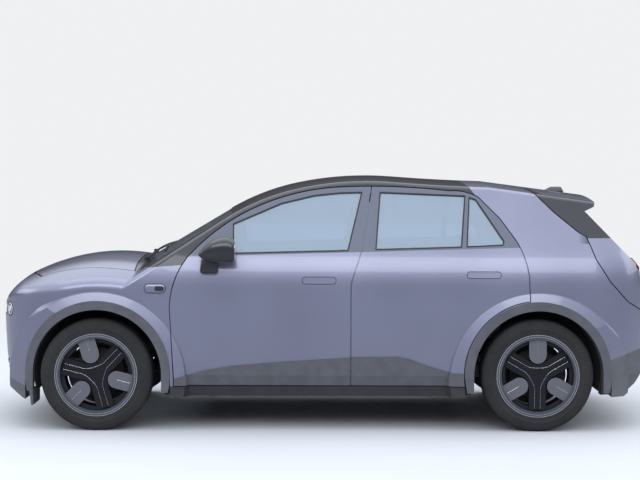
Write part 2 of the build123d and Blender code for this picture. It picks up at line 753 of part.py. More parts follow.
# A bracket on each wing that the bonnet rests on beside its hinge
bonnet_rest = common(
    plan_prism(polygon((-1240, -630), (-1180, -630), (-1180, -790), (-1240, -790)), 870, 1100),
    crowned(lower_silhouette(), LOWER_CROWN_HALF, BONNET_SKIN + SEAT_GAP),
)
keep(both_sides(joined(wing, bonnet_rest)), "front_wings")

rear_bumper = without(common(SKIN, side_prism(REAR_BUMPER_REGION)), REAR_RING, TAILGATE_SPACE)
keep(both_sides(rear_bumper), "rear_bumper")

roof = without(common(SHELL, ROOF_SPACE), SCREEN_SPACE, COWL_SPACE, OPENINGS, TAILGATE_SPACE)
# A tongue on each side that the tailgate's top rests on beside its hinge
tailgate_rest = without(
    common(
        plan_prism(polygon((1200, -520), (1300, -520), (1300, -450), (1200, -450)), 1320, 1500),
        crowned(cabin_silhouette(), CABIN_CROWN_HALF, ROOF_WALL + SEAT_GAP),
    ),
    crowned(cabin_silhouette(), CABIN_CROWN_HALF, 2 * ROOF_WALL),
)
roof_link = common(SHELL, plan_prism(polygon((1200, -520), (1253, -520), (1253, -450), (1200, -450)), 1320, 1500))
keep(both_sides(joined(roof, tailgate_rest, roof_link)), "roof")

cowl = without(common(BODY, COWL_SPACE), crowned(lower_silhouette(), LOWER_CROWN_HALF, PANEL_WALL))
keep(both_sides(cowl), "cowl")

tailgate_all = common(SHELL, side_prism(grown(TAILGATE_REGION, -SHUT_GAP / 2)))
tailgate = without(tailgate_all, side_prism(SPOILER_REGION), REAR_WINDOW_SPACE, tail_lamps(SEAT_GAP))
keep(both_sides(tailgate), "tailgate")
keep(both_sides(common(tailgate_all, side_prism(SPOILER_REGION))), "spoiler")

frame_region = polygon((-945, SILL_Z), (-945, 990), (-801, 1200), (1950, 1600), (1950, SILL_Z))
side_frame = without(
    common(SHELL, side_prism(frame_region)), OPENINGS, ROOF_SPACE, TAILGATE_SPACE, FRONT_WELL, REAR_WELL,
    without(joined(side_prism(REAR_BUMPER_REGION), side_prism(WING_REGION)), PANEL_INSIDE), tail_lamps(SEAT_GAP),
    side_prism(wheel_opening(REAR_ARCH_X, ARCH_TRIM_RADIUS + SEAT_GAP), ARCH_TRIM_INNER_Y - SEAT_GAP),
    side_prism(wheel_opening(FRONT_ARCH_X, ARCH_TRIM_RADIUS + SEAT_GAP), ARCH_TRIM_INNER_Y - SEAT_GAP),
)
write_pair(side_frame, "side_frame_left", "side_frame_right")

# Glass of the body

screen_sheet = without(
    crowned(cabin_silhouette(), CABIN_CROWN_HALF, GLASS_SET_IN),
    crowned(cabin_silhouette(), CABIN_CROWN_HALF, GLASS_SET_IN + 1.2 * GLASS_THICKNESS),
)
keep(both_sides(common(screen_sheet, SCREEN_SPACE)), "windscreen")
keep(both_sides(common(screen_sheet, REAR_WINDOW_SPACE)), "tailgate_glass")

# Floor, arches and trim

# Strip beside the doors' inner faces that nothing fixed may fill
BESIDE_DOORS = side_prism(polygon((-910, 297), (-910, 1100), (870, 1100), (870, 297)), 735, 900)


def floor_sheet(clearance=0.0):
    """The side view of the floor as a sheet over the left half, thicker by the clearance on both faces."""
    with BuildPart() as sheet:
        with BuildSketch(Plane.XZ.offset(-1)):
            with BuildLine():
                Polyline(*FLOOR_LINE)
            trace(line_width=FLOOR_THICKNESS + 2 * clearance)
        extrude(amount=900)
    return sheet.part


def floor_pan():
    """Firewall, floor, seat heel and boot floor as one pressed sheet that fills the cabin's width."""
    wells = joined(well_space(FRONT_ARCH_X), well_space(REAR_ARCH_X))
    return without(common(floor_sheet(), CABIN_INSIDE), wells, BESIDE_DOORS)


def well_space(arch_x):
    """The space that a wheel and its liner take."""
    reach = ARCH_RADIUS + LINER + SEAT_GAP
    return side_prism(wheel_opening(arch_x, reach), WELL_INNER_Y - LINER - SEAT_GAP)


def liner(arch_x):
    """Wheel arch liner: a half drum with an inner wall over the axle."""
    inner_y = WELL_INNER_Y - LINER
    with BuildPart() as shell:
        with BuildSketch(Plane.XZ.offset(inner_y)):
            add(disc(arch_x, ARCH_RADIUS + LINER))
        extrude(amount=ARCH_TRIM_INNER_Y - SEAT_GAP - inner_y)
        with BuildSketch(Plane.XZ.offset(WELL_INNER_Y)):
            add(disc(arch_x, ARCH_RADIUS))
        extrude(amount=500, mode=Mode.SUBTRACT)
        with BuildSketch(Plane.XZ.offset(inner_y - 1)):
            with Locations((arch_x, 0)):
                Rectangle(2 * ARCH_RADIUS - 60, 2 * LINER_WALL_Z)
        extrude(amount=LINER + 2, mode=Mode.SUBTRACT)
        with BuildSketch(Plane.XZ):
            with Locations((arch_x, 0)):
                Rectangle(1000, 2 * LINER_FOOT_Z)
        extrude(amount=900, mode=Mode.SUBTRACT)
    return shell.part


def arch_trim(arch_x):
    """Dark trim round a wheel arch, proud of the body and turned in behind its edge."""
    with BuildPart() as ring:
        with BuildSketch(Plane.XZ.offset(ARCH_TRIM_INNER_Y)):
            add(disc(arch_x, ARCH_TRIM_RADIUS))
            add(wheel_opening(arch_x, ARCH_RADIUS), mode=Mode.SUBTRACT)
            with Locations((arch_x, 0)):
                Rectangle(1000, 2 * LINER_FOOT_Z, mode=Mode.SUBTRACT)
        extrude(amount=200)
        with BuildSketch(Plane.XY):
            add(flare_plan(CLADDING_PROUD))
        extrude(amount=1100, mode=Mode.INTERSECT)
    return ring.part


keep(both_sides(floor_pan()), "floor_pan")
keep(both_sides(joined(liner(FRONT_ARCH_X), liner(REAR_ARCH_X))), "wheel_liners")
keep(both_sides(joined(arch_trim(FRONT_ARCH_X), arch_trim(REAR_ARCH_X))), "arch_trims")

# Wheels and brakes

# Tyre outline: radius and distance from the wheel's middle plane
TYRE_PROFILE = [
    (226.3, -99.7), (245.3, -103), (286, -107.5), (318, -96), (332, -74), (332, 74), (318, 96), (286, 107.5),
    (245.3, 103), (226.3, 99.7),
]
# Rim barrel: its outer wall from the inner flange to the outer one, then back along the inside
RIM_PROFILE = [
    (245, -110), (245, -103.3), (226, -100), (222, -60), (203, -40), (203, 20), (222, 45), (226, 100), (245, 103.3),
    (245, 106), (216, 106), (212, 56), (193, 26), (193, -46), (212, -66), (216, -110),
]


def wheel_plane(x, y):
    """Side-view plane at depth y on the left, centred on the wheel at x."""
    return Plane(origin=(x, -y, TYRE_RADIUS), x_dir=(1, 0, 0), z_dir=(0, -1, 0))


def turned(profile, x):
    """A profile of radius and distance outward from the wheel's middle, turned about the wheel line at x."""
    plane = Plane(origin=(x, -WHEEL_Y, TYRE_RADIUS), x_dir=(0, 0, 1), z_dir=(1, 0, 0))
    with BuildPart() as body:
        with BuildSketch(plane):
            with BuildLine():
                Polyline(*profile, close=True)
            make_face()
        revolve(axis=Axis((x, 0, TYRE_RADIUS), (0, 1, 0)))
    return body.part


def tyre(x):
    """Tyre as one ring."""
    return turned(TYRE_PROFILE, x)


def star_outline(turn):
    """Three arms with notched ends and a round hollow between each two."""
    half = STAR_WIDTH / 2
    hollow_reach = half / sin(radians(60))
    with BuildSketch() as arm:
        with BuildLine():
            Polyline(
                (0, -half), (STAR_REACH, -half), (STAR_REACH - STAR_NOTCH, 0), (STAR_REACH, half), (0, half),
                close=True,
            )
        make_face()
    with BuildSketch() as star:
        with PolarLocations(0, 3, start_angle=30 + turn):
            add(arm.sketch)
        corners = [vertex for vertex in star.vertices() if abs(vertex.center().length - hollow_reach) < 1]
        fillet(corners, STAR_HOLLOW)
    return star.sketch


def rim(x, turn):
    """Wheel with three star arms, three paddles between them, a sunk band, hub and brake disc."""
    reach = RIM_RADIUS - 27
    with BuildPart() as wheel:
        add(turned(RIM_PROFILE, x))
        with BuildSketch(wheel_plane(x, STAR_Y)):
            add(star_outline(turn))
        extrude(amount=STAR_DEPTH)
        with BuildSketch(wheel_plane(x, BAND_Y)):
            Circle(BAND_OUTER)
            Circle(BAND_INNER, mode=Mode.SUBTRACT)
        extrude(amount=BAND_DEPTH)
        with BuildSketch(wheel_plane(x, PADDLE_Y)):
            with PolarLocations(0, 3, start_angle=90 + turn):
                with Locations((PADDLE_INNER + PADDLE_WIDTH / 2, 0)):
                    Circle(PADDLE_WIDTH / 2)
                    Rectangle(
                        reach - PADDLE_INNER - PADDLE_WIDTH / 2, PADDLE_WIDTH, align=(Align.MIN, Align.CENTER)
                    )
        extrude(amount=PADDLE_DEPTH)
        with BuildSketch(wheel_plane(x, DISC_Y)):
            Circle(DISC_RADIUS)
        extrude(amount=DISC_THICKNESS)
        with BuildSketch(wheel_plane(x, DISC_Y + DISC_THICKNESS)):
            Circle(HUB_RADIUS)
        extrude(amount=STAR_Y + STAR_DEPTH - 8 - DISC_Y - DISC_THICKNESS)
        with BuildSketch(wheel_plane(x, DISC_Y - 1)):
            Circle(SPINDLE_RADIUS + SEAT_GAP)
        extrude(amount=SPINDLE_END_Y + 1 - DISC_Y + 1, mode=Mode.SUBTRACT)
    return wheel.part


def carrier(x, caliper_side):
    """Wheel carrier with its spindle, and the brake caliper in front of or behind the axle."""
    with BuildPart() as hub:
        with BuildSketch(wheel_plane(x, CARRIER_Y)):
            Circle(CARRIER_RADIUS)
        extrude(amount=50)
        with BuildSketch(wheel_plane(x, CARRIER_Y + 50)):
            Circle(SPINDLE_RADIUS)
        extrude(amount=SPINDLE_END_Y - CARRIER_Y - 50)
        with BuildSketch(wheel_plane(x, CARRIER_Y + 10)):
            with Locations((caliper_side * 100, 0)):
                Rectangle(130, 70)
        extrude(amount=32)
        with BuildSketch(wheel_plane(x, CARRIER_Y + 42)) as caliper:
            Circle(CALIPER_RADIUS)
            Circle(CALIPER_RADIUS - 70, mode=Mode.SUBTRACT)
            with Locations((caliper_side * (CALIPER_RADIUS - 40), 0)):
                Rectangle(120, 170, mode=Mode.INTERSECT)
        extrude(amount=64)
        with BuildSketch(wheel_plane(x, DISC_Y - 4)):
            Circle(DISC_RADIUS + 4)
            Circle(SPINDLE_RADIUS, mode=Mode.SUBTRACT)
        extrude(amount=DISC_THICKNESS + 8, mode=Mode.SUBTRACT)
    return hub.part


def knuckle():
    """Front left knuckle: the carrier with a lug over the lower arm and a steering arm behind the axle."""
    x = FRONT_AXLE_X
    with BuildPart() as part:
        add(carrier(x, -1))
        with BuildSketch(Plane.XY.offset(LOWER_LUG_Z)):
            with Locations((x, -KINGPIN_Y)):
                Circle(BALL_RADIUS)
        extrude(amount=TYRE_RADIUS - CARRIER_RADIUS + 10 - LOWER_LUG_Z)
        with BuildSketch(Plane.XY.offset(TYRE_RADIUS - 60)):
            with Locations((x + 80, -CARRIER_Y - 14)):
                Rectangle(120, 28)
        extrude(amount=24)
    return part.part


def front_subframe():
    """Left half of the front cross member, with the lower arm, its ball pin and the spring leg."""
    x = FRONT_AXLE_X
    leg_top = ARCH_Z + sqrt(ARCH_RADIUS**2 - (x + SPRING_X + 26 - FRONT_ARCH_X) ** 2) - SEAT_GAP
    with BuildPart() as frame:
        with BuildSketch(Plane.XY.offset(SUBFRAME_Z)):
            with Locations((x, -160)):
                Rectangle(380, 322)
            with BuildLine():
                Polyline(
                    (x - 150, -300), (x + 170, -300), (x + 36, -KINGPIN_Y + 40), (x + 22, -KINGPIN_Y),
                    (x - 22, -KINGPIN_Y), (x - 36, -KINGPIN_Y + 40), close=True
                )
            make_face()
        extrude(amount=ARM_THICKNESS)
        with BuildSketch(Plane.XY.offset(SUBFRAME_Z)):
            with Locations((x, -KINGPIN_Y)):
                Circle(BALL_RADIUS)
        extrude(amount=ARM_THICKNESS)
        with BuildSketch(Plane.XY.offset(SUBFRAME_Z + ARM_THICKNESS)):
            with Locations((x, -160)):
                Rectangle(300, 322)
        extrude(amount=30)
        with BuildSketch(Plane.XY.offset(SUBFRAME_Z + ARM_THICKNESS)):
            with Locations((x + SPRING_X, -FRONT_SPRING_Y)):
                Circle(26)
        extrude(amount=leg_top - SUBFRAME_Z - ARM_THICKNESS)
        with BuildSketch(Plane.XY.offset(ARCH_Z + 60)):
            with Locations((x + SPRING_X, -FRONT_SPRING_Y)):
                Circle(50)
        extrude(amount=ARCH_RADIUS - 100)
    return frame.part


def rear_axle():
    """Left half of the twist beam: trailing arm, cross beam, spring and fixed carrier."""
    x = REAR_AXLE_X
    arm_x = REAR_ARCH_X - ARCH_RADIUS + 2
    with BuildPart() as axle:
        add(carrier(x, 1))
        with BuildSketch(Plane.XZ.offset(REAR_ARM_Y)):
            with BuildLine():
                Polyline(
                    (arm_x, 300), (arm_x, 370), (x - 60, TYRE_RADIUS + 50), (x + 40, TYRE_RADIUS + 40),
                    (x + 40, TYRE_RADIUS - 40), (x - 60, TYRE_RADIUS - 50), close=True
                )
            make_face()
        extrude(amount=CARRIER_Y - REAR_ARM_Y)
        with BuildSketch(Plane.XZ.offset(-1)):
            with Locations((x - 200, TYRE_RADIUS)):
                RectangleRounded(110, 84, 30)
        extrude(amount=REAR_ARM_Y + 1)
        with BuildSketch(Plane.XY.offset(TYRE_RADIUS + 20)):
            with Locations((x - 150, -370)):
                Circle(60)
        extrude(amount=BOOT_FLOOR_Z - FLOOR_THICKNESS / 2 - SEAT_GAP - TYRE_RADIUS - 20)
    return axle.part


for place, x, turn in (("front", FRONT_AXLE_X, FRONT_TURN), ("rear", REAR_AXLE_X, 0)):
    write_pair(tyre(x), f"tyre_{place}_left", f"tyre_{place}_right")
    write_pair(rim(x, turn), f"rim_{place}_left", f"rim_{place}_right")
write_pair(knuckle(), "knuckle_left", "knuckle_right")
keep(both_sides(front_subframe()), "front_subframe")
keep(both_sides(rear_axle()), "rear_axle")

# Heavy blocks

with BuildPart() as battery:
    with BuildSketch(Plane.XY.offset(BATTERY_BOTTOM_Z)):
        RectangleRounded(1360, 1200, 60)
    extrude(amount=FLOOR_Z - FLOOR_THICKNESS / 2 - BATTERY_BOTTOM_Z)
keep(battery.part, "battery_pack")

with BuildPart() as motor:
    with BuildSketch(Plane.XY.offset(SUBFRAME_Z + ARM_THICKNESS + 30)):
        with Locations((FRONT_AXLE_X, 0)):
            RectangleRounded(300, 420, 40)
    extrude(amount=330)
    with BuildSketch(wheel_plane(FRONT_AXLE_X, -SHAFT_END_Y)):
        Circle(14)
    extrude(amount=2 * SHAFT_END_Y)
keep(motor.part, "drive_motor")

# Inside

def front_seat():
    """Left front seat: cushion, backrest and headrest."""
    with BuildPart() as seat:
        with BuildSketch(Plane.XZ.offset(SEAT_Y - 250)):
            with BuildLine():
                Polyline(
                    (-390, 330), (-430, 470), (-400, 520), (60, 480), (200, 1030), (225, 1070), (240, 1200),
                    (330, 1190), (300, 1010), (230, 640), (180, 400), (140, 330), close=True
                )
            make_face()
            fillet(vertices(), 22)
        extrude(amount=500)
        with BuildSketch(Plane.XZ.offset(0)):
            with Locations((270, 1140)):
                Rectangle(300, 150)
        extrude(amount=SEAT_Y - 130, mode=Mode.SUBTRACT)
        with BuildSketch(Plane.XZ.offset(SEAT_Y + 130)):
            with Locations((270, 1140)):
                Rectangle(300, 150)
        extrude(amount=300, mode=Mode.SUBTRACT)
        with BuildSketch(Plane.XY.offset(FLOOR_TOP_Z + SEAT_GAP)):
            with Locations((-130, -SEAT_Y)):
                Rectangle(420, 400)
        extrude(amount=60)
    return seat.part


keep(both_sides(front_seat()), "front_seats")

with BuildPart() as bench:
    with BuildSketch(Plane.XZ.offset(-620)):
        with BuildLine():
            Polyline(
                (500, 330), (480, 480), (520, 520), (920, 500), (1040, 1010), (1120, 1000), (1105, 640), (1060, 580),
                (1005, 575), (975, 440), (790, 425), (700, BENCH_FOOT_Z), (520, BENCH_FOOT_Z), close=True
            )
        make_face()
        fillet(vertices(), 12)
    extrude(amount=1240)
keep(without(bench.part, both_sides(well_space(REAR_ARCH_X)), both_sides(floor_sheet(SEAT_GAP))), "rear_bench")

column_axis = (cos(radians(STEERING_TILT)), 0, sin(radians(STEERING_TILT)))
COLUMN_PLANE = Plane(origin=(STEERING_X, -SEAT_Y, STEERING_Z), x_dir=(0, 1, 0), z_dir=column_axis)
with BuildPart() as dash:
    with BuildSketch(Plane.XZ.offset(-900)):
        with BuildLine():
            Polyline((-860, 745), (-640, 720), (-565, 800), (-590, 960), (-640, 985), (-905, 955), close=True)
        make_face()
        fillet(vertices(), 20)
    extrude(amount=1800)
    add(both_sides(CABIN_INSIDE), mode=Mode.INTERSECT)
    add(both_sides(BESIDE_DOORS), mode=Mode.SUBTRACT)
    with BuildSketch(Plane.XY.offset(746)):
        with Locations((-850.7, 0)):
            Rectangle(50, 600)
    extrude(amount=10)
    with BuildSketch(COLUMN_PLANE.offset(-COLUMN_LENGTH)):
        Circle(40)
    extrude(amount=-120)
keep(dash.part, "dashboard")

with BuildPart() as steering:
    with BuildSketch(COLUMN_PLANE.offset(-12)):
        Circle(186)
        Circle(156, mode=Mode.SUBTRACT)
        Circle(58)
        Rectangle(330, 36)
        with Locations((0, -85)):
            Rectangle(36, 160)
    extrude(amount=24)
    with BuildSketch(COLUMN_PLANE.offset(SEAT_GAP - COLUMN_LENGTH)):
        Circle(30)
    extrude(amount=COLUMN_LENGTH - 12)
keep(steering.part, "steering_wheel")

# Lamps and mirrors

def mirror_left():
    """Left door mirror: a rounded head on a short foot on the door."""
    with BuildPart() as head:
        with BuildSketch(Plane.XZ.offset(850)):
            with BuildLine():
                Polyline((-735, 1040), (-690, 1140), (-560, 1154), (-522, 1120), (-530, 1030), (-600, 1008), close=True)
            make_face()
            fillet(vertices(), 22)
        extrude(amount=150, taper=6)
        with BuildSketch(Plane.XZ.offset(780)):
            with Locations((-672, 1000)):
                Rectangle(90, 90)
        extrude(amount=100)
    return without(head.part, BODY)


write_pair(mirror_left(), "mirror_left", "mirror_right")
keep(both_sides(common(without(BODY, plan_form(HEADLAMP_DEPTH)), headlamp_rods())), "headlamps")
keep(both_sides(tail_lamps()), "tail_lamps")
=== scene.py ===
"""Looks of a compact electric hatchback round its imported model: finishes, tyres, seats, trim and studio."""
from collections import namedtuple
from math import asin, atan2, cos, hypot, pi, radians, sin, sqrt, tan

import bmesh
import bpy
from mathutils import Matrix, Vector


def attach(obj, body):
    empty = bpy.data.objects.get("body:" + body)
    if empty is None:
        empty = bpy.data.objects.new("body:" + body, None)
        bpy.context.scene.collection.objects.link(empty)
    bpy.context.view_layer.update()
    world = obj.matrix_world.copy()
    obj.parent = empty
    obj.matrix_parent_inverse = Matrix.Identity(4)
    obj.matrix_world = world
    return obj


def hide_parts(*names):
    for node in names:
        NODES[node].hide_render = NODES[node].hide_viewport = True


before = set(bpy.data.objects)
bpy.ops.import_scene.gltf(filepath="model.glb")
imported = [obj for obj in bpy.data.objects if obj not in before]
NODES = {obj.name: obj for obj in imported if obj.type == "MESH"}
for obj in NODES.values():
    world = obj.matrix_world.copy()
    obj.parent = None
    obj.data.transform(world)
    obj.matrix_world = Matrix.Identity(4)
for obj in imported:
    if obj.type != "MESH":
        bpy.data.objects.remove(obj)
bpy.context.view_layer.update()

# All lengths are in metres and all angles in degrees, unless a function says otherwise

SIDES = {"left": -1, "right": 1}

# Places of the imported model, and how far the front wheels have rolled; Y is the distance from the car's middle
AXLES = {"front": -1.3375, "rear": 1.2775}
WHEEL_Y, WHEEL_Z = 0.7645, 0.332
FRONT_ROLL = 16
SEAT_Y = 0.37
BELT_X, BELT_Z, BELT_RISE = -0.525, 1.040, 0.0287

# Form of the body side: half width, radius of its bow in plan, widest height, belt height, inset at the belt
SIDE_HALF, SIDE_BOW = 0.868, 50.0
SIDE_WIDEST_Z, SIDE_BELT_Z, SIDE_INSET = 0.840, 1.085, 0.055
SIDE_SHOULDER = ((SIDE_BELT_Z - SIDE_WIDEST_Z) ** 2 + SIDE_INSET**2) / (2 * SIDE_INSET)
SIDE_LEAN = asin((SIDE_BELT_Z - SIDE_WIDEST_Z) / SIDE_SHOULDER)
# Flat outlines are drawn beside the car before they are laid on its side
OUTLINE_Y = -1.05


# Studio

CAMERA_PLACE, CAMERA_DIP, CAMERA_ROLL = (-0.0153, -9.89, 1.50), 2.32, -0.17
CAMERA_LENS, CAMERA_SENSOR = 86.2, 36

# Soft boxes: name, place, turn, size, power in watts, colour, whether glossy surfaces mirror it
SOFT_BOXES = [
    ("overhead_box", (0, -0.6, 5.2), (0, 0, 0), (8.0, 4.0), 75, (1.0, 0.99, 0.97), True),
    ("near_side_box", (-1.0, -8.5, 5.0), (60, 0, -5), (10.0, 3.0), 200, (0.95, 0.975, 1.0), True),
    ("far_side_box", (0.5, 8.0, 4.6), (-62, 0, 0), (9.0, 3.0), 55, (0.97, 0.98, 1.0), False),
    ("nose_box", (-8.5, 0.5, 3.4), (0, -70, 0), (3.0, 5.0), 70, (1.0, 1.0, 1.0), True),
    ("tail_box", (8.5, 0.5, 3.4), (0, 70, 0), (3.0, 5.0), 70, (1.0, 1.0, 1.0), True),
]

BACKDROP = (0.86, 0.875, 0.895)
SKY_COLOUR = (0.86, 0.91, 1.0)
SKY_HEIGHTS, SKY_LEVELS = (0.08, 0.55), (0.36, 1.50)
# The far side is darker low down, which keeps the roof and bonnet dark at a flat angle
FAR_SIDE, FAR_HEIGHTS, FAR_SHADE = (0.0, 0.35), (0.25, 0.68), 0.80

FLOOR_SIZE = 80
FLOOR_COLOUR, FLOOR_REFLECTED = (0.66, 0.675, 0.70), (0.24, 0.25, 0.28)
FLOOR_FADE = (3.2, 7.5)


def make_camera():
    """Camera at the photograph's place and angle."""
    data = bpy.data.cameras.new("side_camera")
    data.lens = CAMERA_LENS
    data.sensor_width = CAMERA_SENSOR
    camera = bpy.data.objects.new("side_camera", data)
    camera.location = CAMERA_PLACE
    camera.rotation_euler = (radians(90 - CAMERA_DIP), radians(CAMERA_ROLL), 0)
    bpy.context.scene.collection.objects.link(camera)
    bpy.context.scene.camera = camera


def make_lights():
    """Soft boxes above, beside, before and behind the car."""
    for name, place, turn, size, power, colour, mirrored in SOFT_BOXES:
        lamp = bpy.data.lights.new(name, "AREA")
        lamp.shape = "RECTANGLE"
        lamp.size, lamp.size_y = size
        lamp.energy = power
        lamp.color = colour
        holder = bpy.data.objects.new(name, lamp)
        holder.location = place
        holder.rotation_euler = [radians(angle) for angle in turn]
        holder.visible_glossy = mirrored
        bpy.context.scene.collection.objects.link(holder)


def make_world():
    """A room that grows brighter upwards; the camera sees its plain backdrop."""
    world = bpy.data.worlds.new("studio_world")
    bpy.context.scene.world = world
    world.use_nodes = True
    tree = world.node_tree
    background = tree.nodes["Background"]
    parts = add(tree, "SeparateXYZ", {0: add(tree, "TexCoord").outputs["Generated"]}).outputs
    sky = ramp(tree, parts["Z"], *SKY_HEIGHTS, *SKY_LEVELS)
    behind = ramp(tree, parts["Y"], *FAR_SIDE)
    low = ramp(tree, parts["Z"], *FAR_HEIGHTS, 1.0, 0.0)
    shade = sums(tree, "MULTIPLY", behind, low, FAR_SHADE)
    sky = sums(tree, "MULTIPLY", sky, sums(tree, "SUBTRACT", 1.0, shade))
    seen = add(tree, "LightPath").outputs["Is Camera Ray"]
    tree.links.new(mix_colour(tree, seen, SKY_COLOUR, BACKDROP), background.inputs["Color"])
    tree.links.new(mix_value(tree, seen, sky, 1.0), background.inputs["Strength"])


def studio():
    """Camera, lights, room and floor."""
    make_camera()
    make_lights()
    make_world()
    bpy.context.scene.view_settings.view_transform = "Standard"
    floor = start("plane", "studio_floor", size=FLOOR_SIZE)
    floor.data.materials.append(floor_finish())


# Shader helpers

def feed(tree, socket, value):
    """Links a socket to another node's output, or sets its value. A colour gets its alpha."""
    if isinstance(value, bpy.types.NodeSocket):
        tree.links.new(value, socket)
    elif socket.type == "RGBA":
        socket.default_value = (*value[:3], 1)
    else:
        socket.default_value = value


def add(tree, kind, inputs=None, **settings):
    """A shader node with its settings, and its inputs linked or set."""
    node = tree.nodes.new("ShaderNode" + kind)
    for key, value in settings.items():
        setattr(node, key, value)
    for key, value in (inputs or {}).items():
        feed(tree, node.inputs[key], value)
    return node


def sums(tree, operation, *values, clamp=False):
    """The values taken together by one operation, from left to right."""
    result = values[0]
    for value in values[1:]:
        result = add(tree, "Math", {0: result, 1: value}, operation=operation, use_clamp=clamp).outputs[0]
    return result


def ramp(tree, value, low, high, first=0.0, last=1.0):
    """Value from first to last, smoothly, as the input goes from low to high."""
    inputs = {"Value": value, 1: low, 2: high, 3: first, 4: last}
    return add(tree, "MapRange", inputs, interpolation_type="SMOOTHSTEP").outputs[0]


def within(tree, value, low, high, edge):
    """Mask of values between low and high, with soft edges."""
    above = ramp(tree, value, low - edge, low + edge)
    below = ramp(tree, value, high - edge, high + edge, 1.0, 0.0)
    return sums(tree, "MULTIPLY", above, below)


def mix_colour(tree, share, first, second):
    """Colour between first and second."""
    return add(tree, "Mix", {0: share, 6: first, 7: second}, data_type="RGBA").outputs[2]


def mix_value(tree, share, first, second):
    """Value between first and second."""
    return add(tree, "Mix", {0: share, 2: first, 3: second}, data_type="FLOAT").outputs[0]


def scaled(tree, colour, amount):
    """A colour made brighter or darker."""
    return add(tree, "VectorMath", {0: colour, "Scale": amount}, operation="SCALE").outputs["Vector"]


def length(tree, vector):
    """Length of a vector."""
    return add(tree, "VectorMath", {0: vector}, operation="LENGTH").outputs["Value"]


def noise(tree, place, scale, detail, roughness=0.5):
    """Cloudy noise."""
    inputs = {"Vector": place, "Scale": scale, "Detail": detail, "Roughness": roughness}
    return add(tree, "TexNoise", inputs).outputs[0]


def cells(tree, place, scale):
    """Distance from the middles of small cells."""
    return add(tree, "TexVoronoi", {"Vector": place, "Scale": scale}).outputs["Distance"]


def new_group(name, inputs, outputs):
    """An empty shader group with named sockets, and the sockets of its input and output nodes."""
    group = bpy.data.node_groups.new(name, "ShaderNodeTree")
    for sockets, direction in ((inputs, "INPUT"), (outputs, "OUTPUT")):
        for socket, kind in sockets.items():
            group.interface.new_socket(name=socket, in_out=direction, socket_type="NodeSocket" + kind)
    return group, group.nodes.new("NodeGroupInput").outputs, group.nodes.new("NodeGroupOutput").inputs


def use_group(tree, group, **inputs):
    """Outputs of the group placed in a material, with its inputs linked or set."""
    return add(tree, "Group", inputs, node_tree=group).outputs


# Shader groups

DUST_COLOUR, DUST_ROUGHNESS = (0.33, 0.325, 0.315), 0.85
RUBBED_COLOUR = (0.42, 0.42, 0.43)


def side_place_group():
    """Place on the car with both sides folded together: x, distance from the middle, z."""
    group, into, out = new_group("side_place", {"Place": "Vector"}, {"Folded": "Vector"})
    parts = add(group, "SeparateXYZ", {0: into["Place"]}).outputs
    away = sums(group, "ABSOLUTE", parts["Y"], 0.0)
    folded = add(group, "CombineXYZ", {"X": parts["X"], "Y": away, "Z": parts["Z"]})
    group.links.new(folded.outputs[0], out["Folded"])
    return group


def beyond_group():
    """Mask of what lies beyond a plane: 1 where Place along Direction is more than Distance."""
    sockets = {"Place": "Vector", "Direction": "Vector", "Distance": "Float", "Soft": "Float"}
    group, into, out = new_group("beyond", sockets, {"Mask": "Float"})
    along = add(group, "VectorMath", {0: into["Place"], 1: into["Direction"]}, operation="DOT_PRODUCT")
    over = sums(group, "SUBTRACT", along.outputs["Value"], into["Distance"])
    share = sums(group, "DIVIDE", over, into["Soft"])
    group.links.new(sums(group, "ADD", share, 0.5, clamp=True), out["Mask"])
    return group


def dust_group():
    """Road dust that thins out with height, in patches."""
    group, into, out = new_group(
        "road_dust",
        {"Colour": "Color", "Roughness": "Float", "Place": "Vector", "Amount": "Float", "Top": "Float"},
        {"Colour": "Color", "Roughness": "Float", "Cover": "Float"},
    )
    height = add(group, "SeparateXYZ", {0: into["Place"]}).outputs["Z"]
    height = sums(group, "DIVIDE", height, into["Top"], clamp=True)
    low = sums(group, "SUBTRACT", 1.0, height, clamp=True)
    patches = ramp(group, noise(group, into["Place"], 3.0, 8.0, 0.62), 0.20, 0.85, 0.35, 0.75)
    specks = ramp(group, noise(group, into["Place"], 160.0, 3.0), 0.35, 0.75, 0.55, 1.0)
    cover = sums(group, "MULTIPLY", low, patches, specks)
    cover = sums(group, "MULTIPLY", cover, into["Amount"], clamp=True)
    group.links.new(mix_colour(group, cover, into["Colour"], DUST_COLOUR), out["Colour"])
    group.links.new(mix_value(group, cover, into["Roughness"], DUST_ROUGHNESS), out["Roughness"])
    group.links.new(cover, out["Cover"])
    return group


def flake_group():
    """Metallic paint: slow drift of tone, fine flakes, faint polish marks and orange peel."""
    group, into, out = new_group(
        "metallic_flake",
        {"Colour": "Color", "Place": "Vector", "Strength": "Float"},
        {"Colour": "Color", "Roughness": "Float", "Height": "Float"},
    )
    tone = ramp(group, noise(group, into["Place"], 1.6, 2.0), 0.3, 0.7, 0.94, 1.06)
    spark = ramp(group, cells(group, into["Place"], 1400.0), 0.0, 0.9, 1.10, 0.93)
    flaked = sums(group, "MULTIPLY", tone, spark)
    amount = mix_value(group, into["Strength"], 1.0, flaked)
    marks = noise(group, into["Place"], 55.0, 8.0, 0.7)
    group.links.new(scaled(group, into["Colour"], amount), out["Colour"])
    group.links.new(ramp(group, marks, 0.3, 0.75, 0.0, 0.06), out["Roughness"])
    group.links.new(noise(group, into["Place"], 420.0, 1.0), out["Height"])
    return group


def grain_group():
    """Moulded plastic grain: small pebbles with a soft variation of tone."""
    group, into, out = new_group(
        "moulded_grain",
        {"Colour": "Color", "Place": "Vector", "Scale": "Float"},
        {"Colour": "Color", "Height": "Float"},
    )
    tone = ramp(group, noise(group, into["Place"], 14.0, 5.0), 0.3, 0.7, 0.88, 1.12)
    group.links.new(scaled(group, into["Colour"], tone), out["Colour"])
    group.links.new(cells(group, into["Place"], into["Scale"]), out["Height"])
    return group


